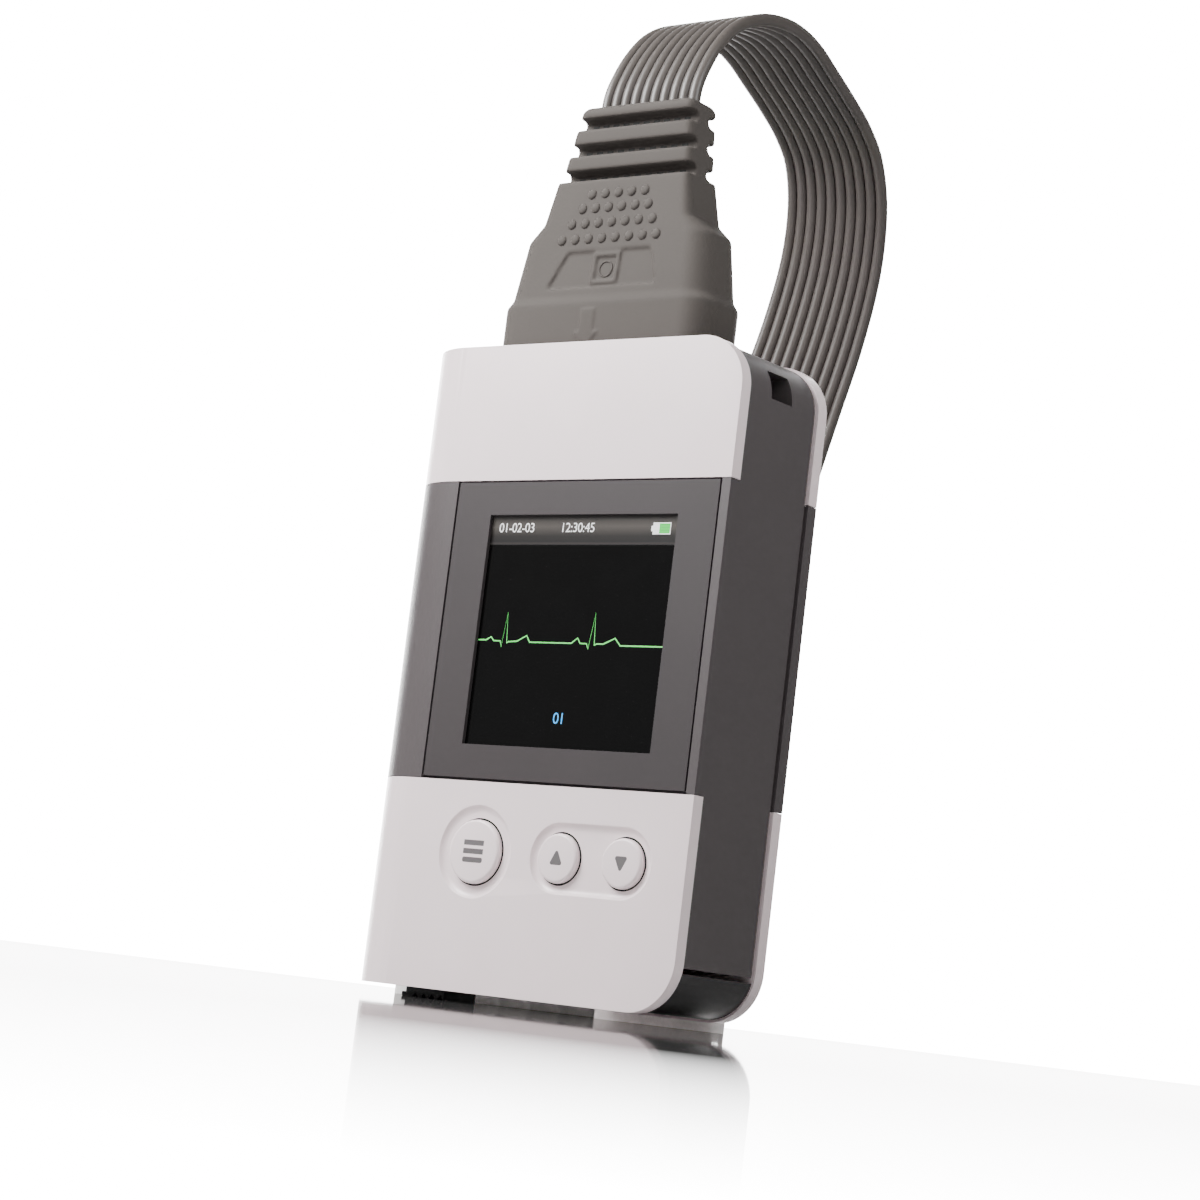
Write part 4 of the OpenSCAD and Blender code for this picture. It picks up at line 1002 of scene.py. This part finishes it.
class HOLTER_OT_lead_ends(bpy.types.Operator):
    """Finishes the sleeves and gold contacts of the leads, and the tie round the roll"""
    bl_idname = "holter.lead_ends"
    bl_label = "Lead Ends"

    def execute(self, context):
        s = context.scene.holter_plug
        # Moulded PVC, grey like the plug but smoother
        sleeve = moulded_plastic("moulded pvc sleeve grey", s.colour, 0.45, relief=0.01)
        # Brass with a bright gold plating
        gold = sheet_metal("gold plated brass", "D4AF5A", 0.2)
        # Woven nylon tape: off-white and dull, its weave a coarse relief
        tape = moulded_plastic(
            "woven nylon tie", "E6E4E2", 0.7, grain_mm=0.5, relief=0.15, spread=0.05)
        paint(sleeve, "lead_sleeves")
        paint(gold, "lead_contacts", "socket_pins")
        paint(tape, "roll_tie")
        return {"FINISHED"}


class HOLTER_OT_inner_parts(bpy.types.Operator):
    """Finishes everything that the case holds"""
    bl_idname = "holter.inner_parts"
    bl_label = "Inner Parts"

    def execute(self, context):
        # Glass filled nylon: black, stiff, a little dull
        black = moulded_plastic("glass filled nylon black", "232325", 0.45, relief=0.01)
        paint(black, "display_module", "tact_switches", "cable_socket", "plug_tongue",
              "battery_tray", "memory_card", "buzzer")
        # Silicone rubber: black round the display, red on the switches
        rubber = moulded_plastic("silicone rubber black", "1E1E1E", 0.65, relief=0.02)
        paint(rubber, "display_cushion")
        red = moulded_plastic("silicone rubber red", "8A2E22", 0.6, relief=0.02)
        paint(red, "menu_plunger", "up_plunger", "down_plunger")
        # Glass cloth laminate under a green solder mask, mottled by its tracks
        board = moulded_plastic(
            "solder masked laminate", "1B5A36", 0.3, grain_mm=1.2, relief=0.02, spread=0.15)
        paint(board, "main_board")
        # Amber polyimide film
        film = moulded_plastic("polyimide film", "B07A2A", 0.3, grain_mm=0.6, spread=0.1)
        paint(film, "display_flex")
        # Printed shrink jacket of the cell
        jacket = moulded_plastic("printed cell jacket", "2E6B55", 0.25, grain_mm=2.0, spread=0.08)
        paint(jacket, "battery_cell")
        # Turned steel with fine lines
        steel = sheet_metal("turned screw steel", "B9BBC0", 0.3)
        paint(steel, "board_screws", "case_screws", "hinge_pin")
        # Tin plated sheet, rolled
        tin = sheet_metal("tin plated sheet", "C8C8C6", 0.35)
        paint(tin, "processor_shield", "card_socket", "backup_cell", "cell_contact")
        return {"FINISHED"}


class HOLTER_OT_studio(bpy.types.Operator):
    """Lays the pale floor and sets the soft lights"""
    bl_idname = "holter.studio"
    bl_label = "Studio"

    # In metres: the paper's side and distance, the lamps' aim, each lamp's place and side
    PAPER = 2.0
    PAPER_AWAY = 1.5
    AIM = 0.08
    KEY = ((-0.12, -0.17, 0.26), 0.16)
    FILL = ((0.15, -0.03, 0.21), 0.08)
    # The painted glow, a white field on the floor round the point under the camera: a length over
    # the distance from its middle, and where it starts and is full
    GLOW_FIELD_SIZE = 0.004
    GLOW_FIELD_SPAN = (0.03, 0.18)

    def execute(self, context):
        s = context.scene.holter_stage
        eye = context.scene.camera.matrix_world.translation
        # Pale acrylic: it mirrors at a low angle; a field of it in front glows white, painted light
        # that fades the reflection
        acrylic, tree = new_material("pale acrylic sheet")
        gap = add(tree, "ShaderNodeVectorMath", {
            0: position(tree), 1: (eye.x, eye.y, 0)}, operation="DISTANCE")
        near = add(tree, "ShaderNodeMath", {
            0: self.GLOW_FIELD_SIZE, 1: gap.outputs["Value"]}, operation="DIVIDE")
        glow_field = add(tree, "ShaderNodeMapRange", {
            "Value": near.outputs["Value"], "From Min": self.GLOW_FIELD_SPAN[0], "From Max": self.GLOW_FIELD_SPAN[1]})
        fresnel = add(tree, "ShaderNodeFresnel", {"IOR": 1.3})
        matt = add(tree, "ShaderNodeBsdfDiffuse", {"Color": (0.4, 0.4, 0.4, 1)})
        glossy = add(tree, "ShaderNodeBsdfGlossy", {
            "Color": (0.55, 0.54, 0.54, 1), "Roughness": 0.02})
        surface = add(tree, "ShaderNodeMixShader", {
            0: fresnel.outputs[0], 1: matt.outputs[0], 2: glossy.outputs[0]})
        glow = add(tree, "ShaderNodeEmission", {"Color": (1, 1, 1, 1), "Strength": s.paper})
        mixed = add(tree, "ShaderNodeMixShader", {
            0: glow_field.outputs["Result"], 1: surface.outputs[0], 2: glow.outputs[0]})
        close(tree, mixed.outputs[0])
        self.sheet("floor", acrylic, s.floor, Matrix())
        # White paper, lit evenly, stands well behind the recorder
        paper, tree = new_material("lit white paper")
        glow = add(tree, "ShaderNodeEmission", {"Color": (1, 1, 1, 1), "Strength": s.paper})
        close(tree, glow.outputs[0])
        away = Vector((-eye.x, -eye.y, 0)).normalized()
        self.sheet("paper", paper, self.PAPER, facing(away * self.PAPER_AWAY, away))
        world = bpy.data.worlds.new("pale surroundings")
        world.use_nodes = True
        back = world.node_tree.nodes["Background"]
        back.inputs["Color"].default_value = (1, 1, 1, 1)
        back.inputs["Strength"].default_value = s.sky
        context.scene.world = world
        self.light("key", *self.KEY, s.key)
        self.light("fill", *self.FILL, s.fill)
        return {"FINISHED"}

    def sheet(self, name, material, size, place):
        """A flat square sheet of the stage"""
        bm = bmesh.new()
        bmesh.ops.create_grid(bm, x_segments=1, y_segments=1, size=size / 2, matrix=place)
        mesh = bpy.data.meshes.new(name)
        bm.to_mesh(mesh)
        bm.free()
        mesh.materials.append(material)
        new_object(name, mesh)

    def light(self, name, at, size, power):
        """A soft square lamp that looks at the recorder"""
        lamp = bpy.data.lights.new(name, "AREA")
        lamp.size = size
        lamp.energy = power
        away = Vector(at) - Vector((0, 0, self.AIM))
        new_object(name, lamp).matrix_world = facing(at, away)


class HOLTER_PT_panel(bpy.types.Panel):
    """Lists the recorder's pieces in the sidebar"""
    bl_idname = "HOLTER_PT_panel"
    bl_label = "Heart Recorder"
    bl_space_type = "VIEW_3D"
    bl_region_type = "UI"
    bl_category = "Recorder"

    def draw(self, context):
        for operator in OPERATORS:
            self.layout.operator(operator.bl_idname)
        for name in SETTINGS:
            group = getattr(context.scene, name)
            box = self.layout.box()
            for prop in group.bl_rna.properties:
                if prop.identifier not in {"rna_type", "name"}:
                    box.prop(group, prop.identifier)


SETTINGS = {
    "holter_camera": CameraSettings, "holter_cable": CableSettings, "holter_plug": PlugSettings,
    "holter_shell": ShellSettings, "holter_screen": ScreenSettings, "holter_stage": StageSettings}
# In the order of making: the camera and the cable come first
OPERATORS = (
    HOLTER_OT_camera, HOLTER_OT_cable, HOLTER_OT_covers, HOLTER_OT_grey_parts, HOLTER_OT_display,
    HOLTER_OT_buttons, HOLTER_OT_door, HOLTER_OT_plug, HOLTER_OT_lead_ends, HOLTER_OT_inner_parts,
    HOLTER_OT_studio)


def register():
    """Makes the settings, steps and panel known to Blender."""
    for group in SETTINGS.values():
        bpy.utils.register_class(group)
    for operator in OPERATORS:
        bpy.utils.register_class(operator)
    bpy.utils.register_class(HOLTER_PT_panel)
    for name, group in SETTINGS.items():
        setattr(bpy.types.Scene, name, PointerProperty(type=group))


def unregister():
    """Takes them out again."""
    for name in SETTINGS:
        delattr(bpy.types.Scene, name)
    bpy.utils.unregister_class(HOLTER_PT_panel)
    for cls in reversed((*SETTINGS.values(), *OPERATORS)):
        bpy.utils.unregister_class(cls)


def main():
    """Runs every step."""
    register()
    for operator in OPERATORS:
        group, name = operator.bl_idname.split(".")
        getattr(getattr(bpy.ops, group), name)()


if __name__ == "__main__":
    main()
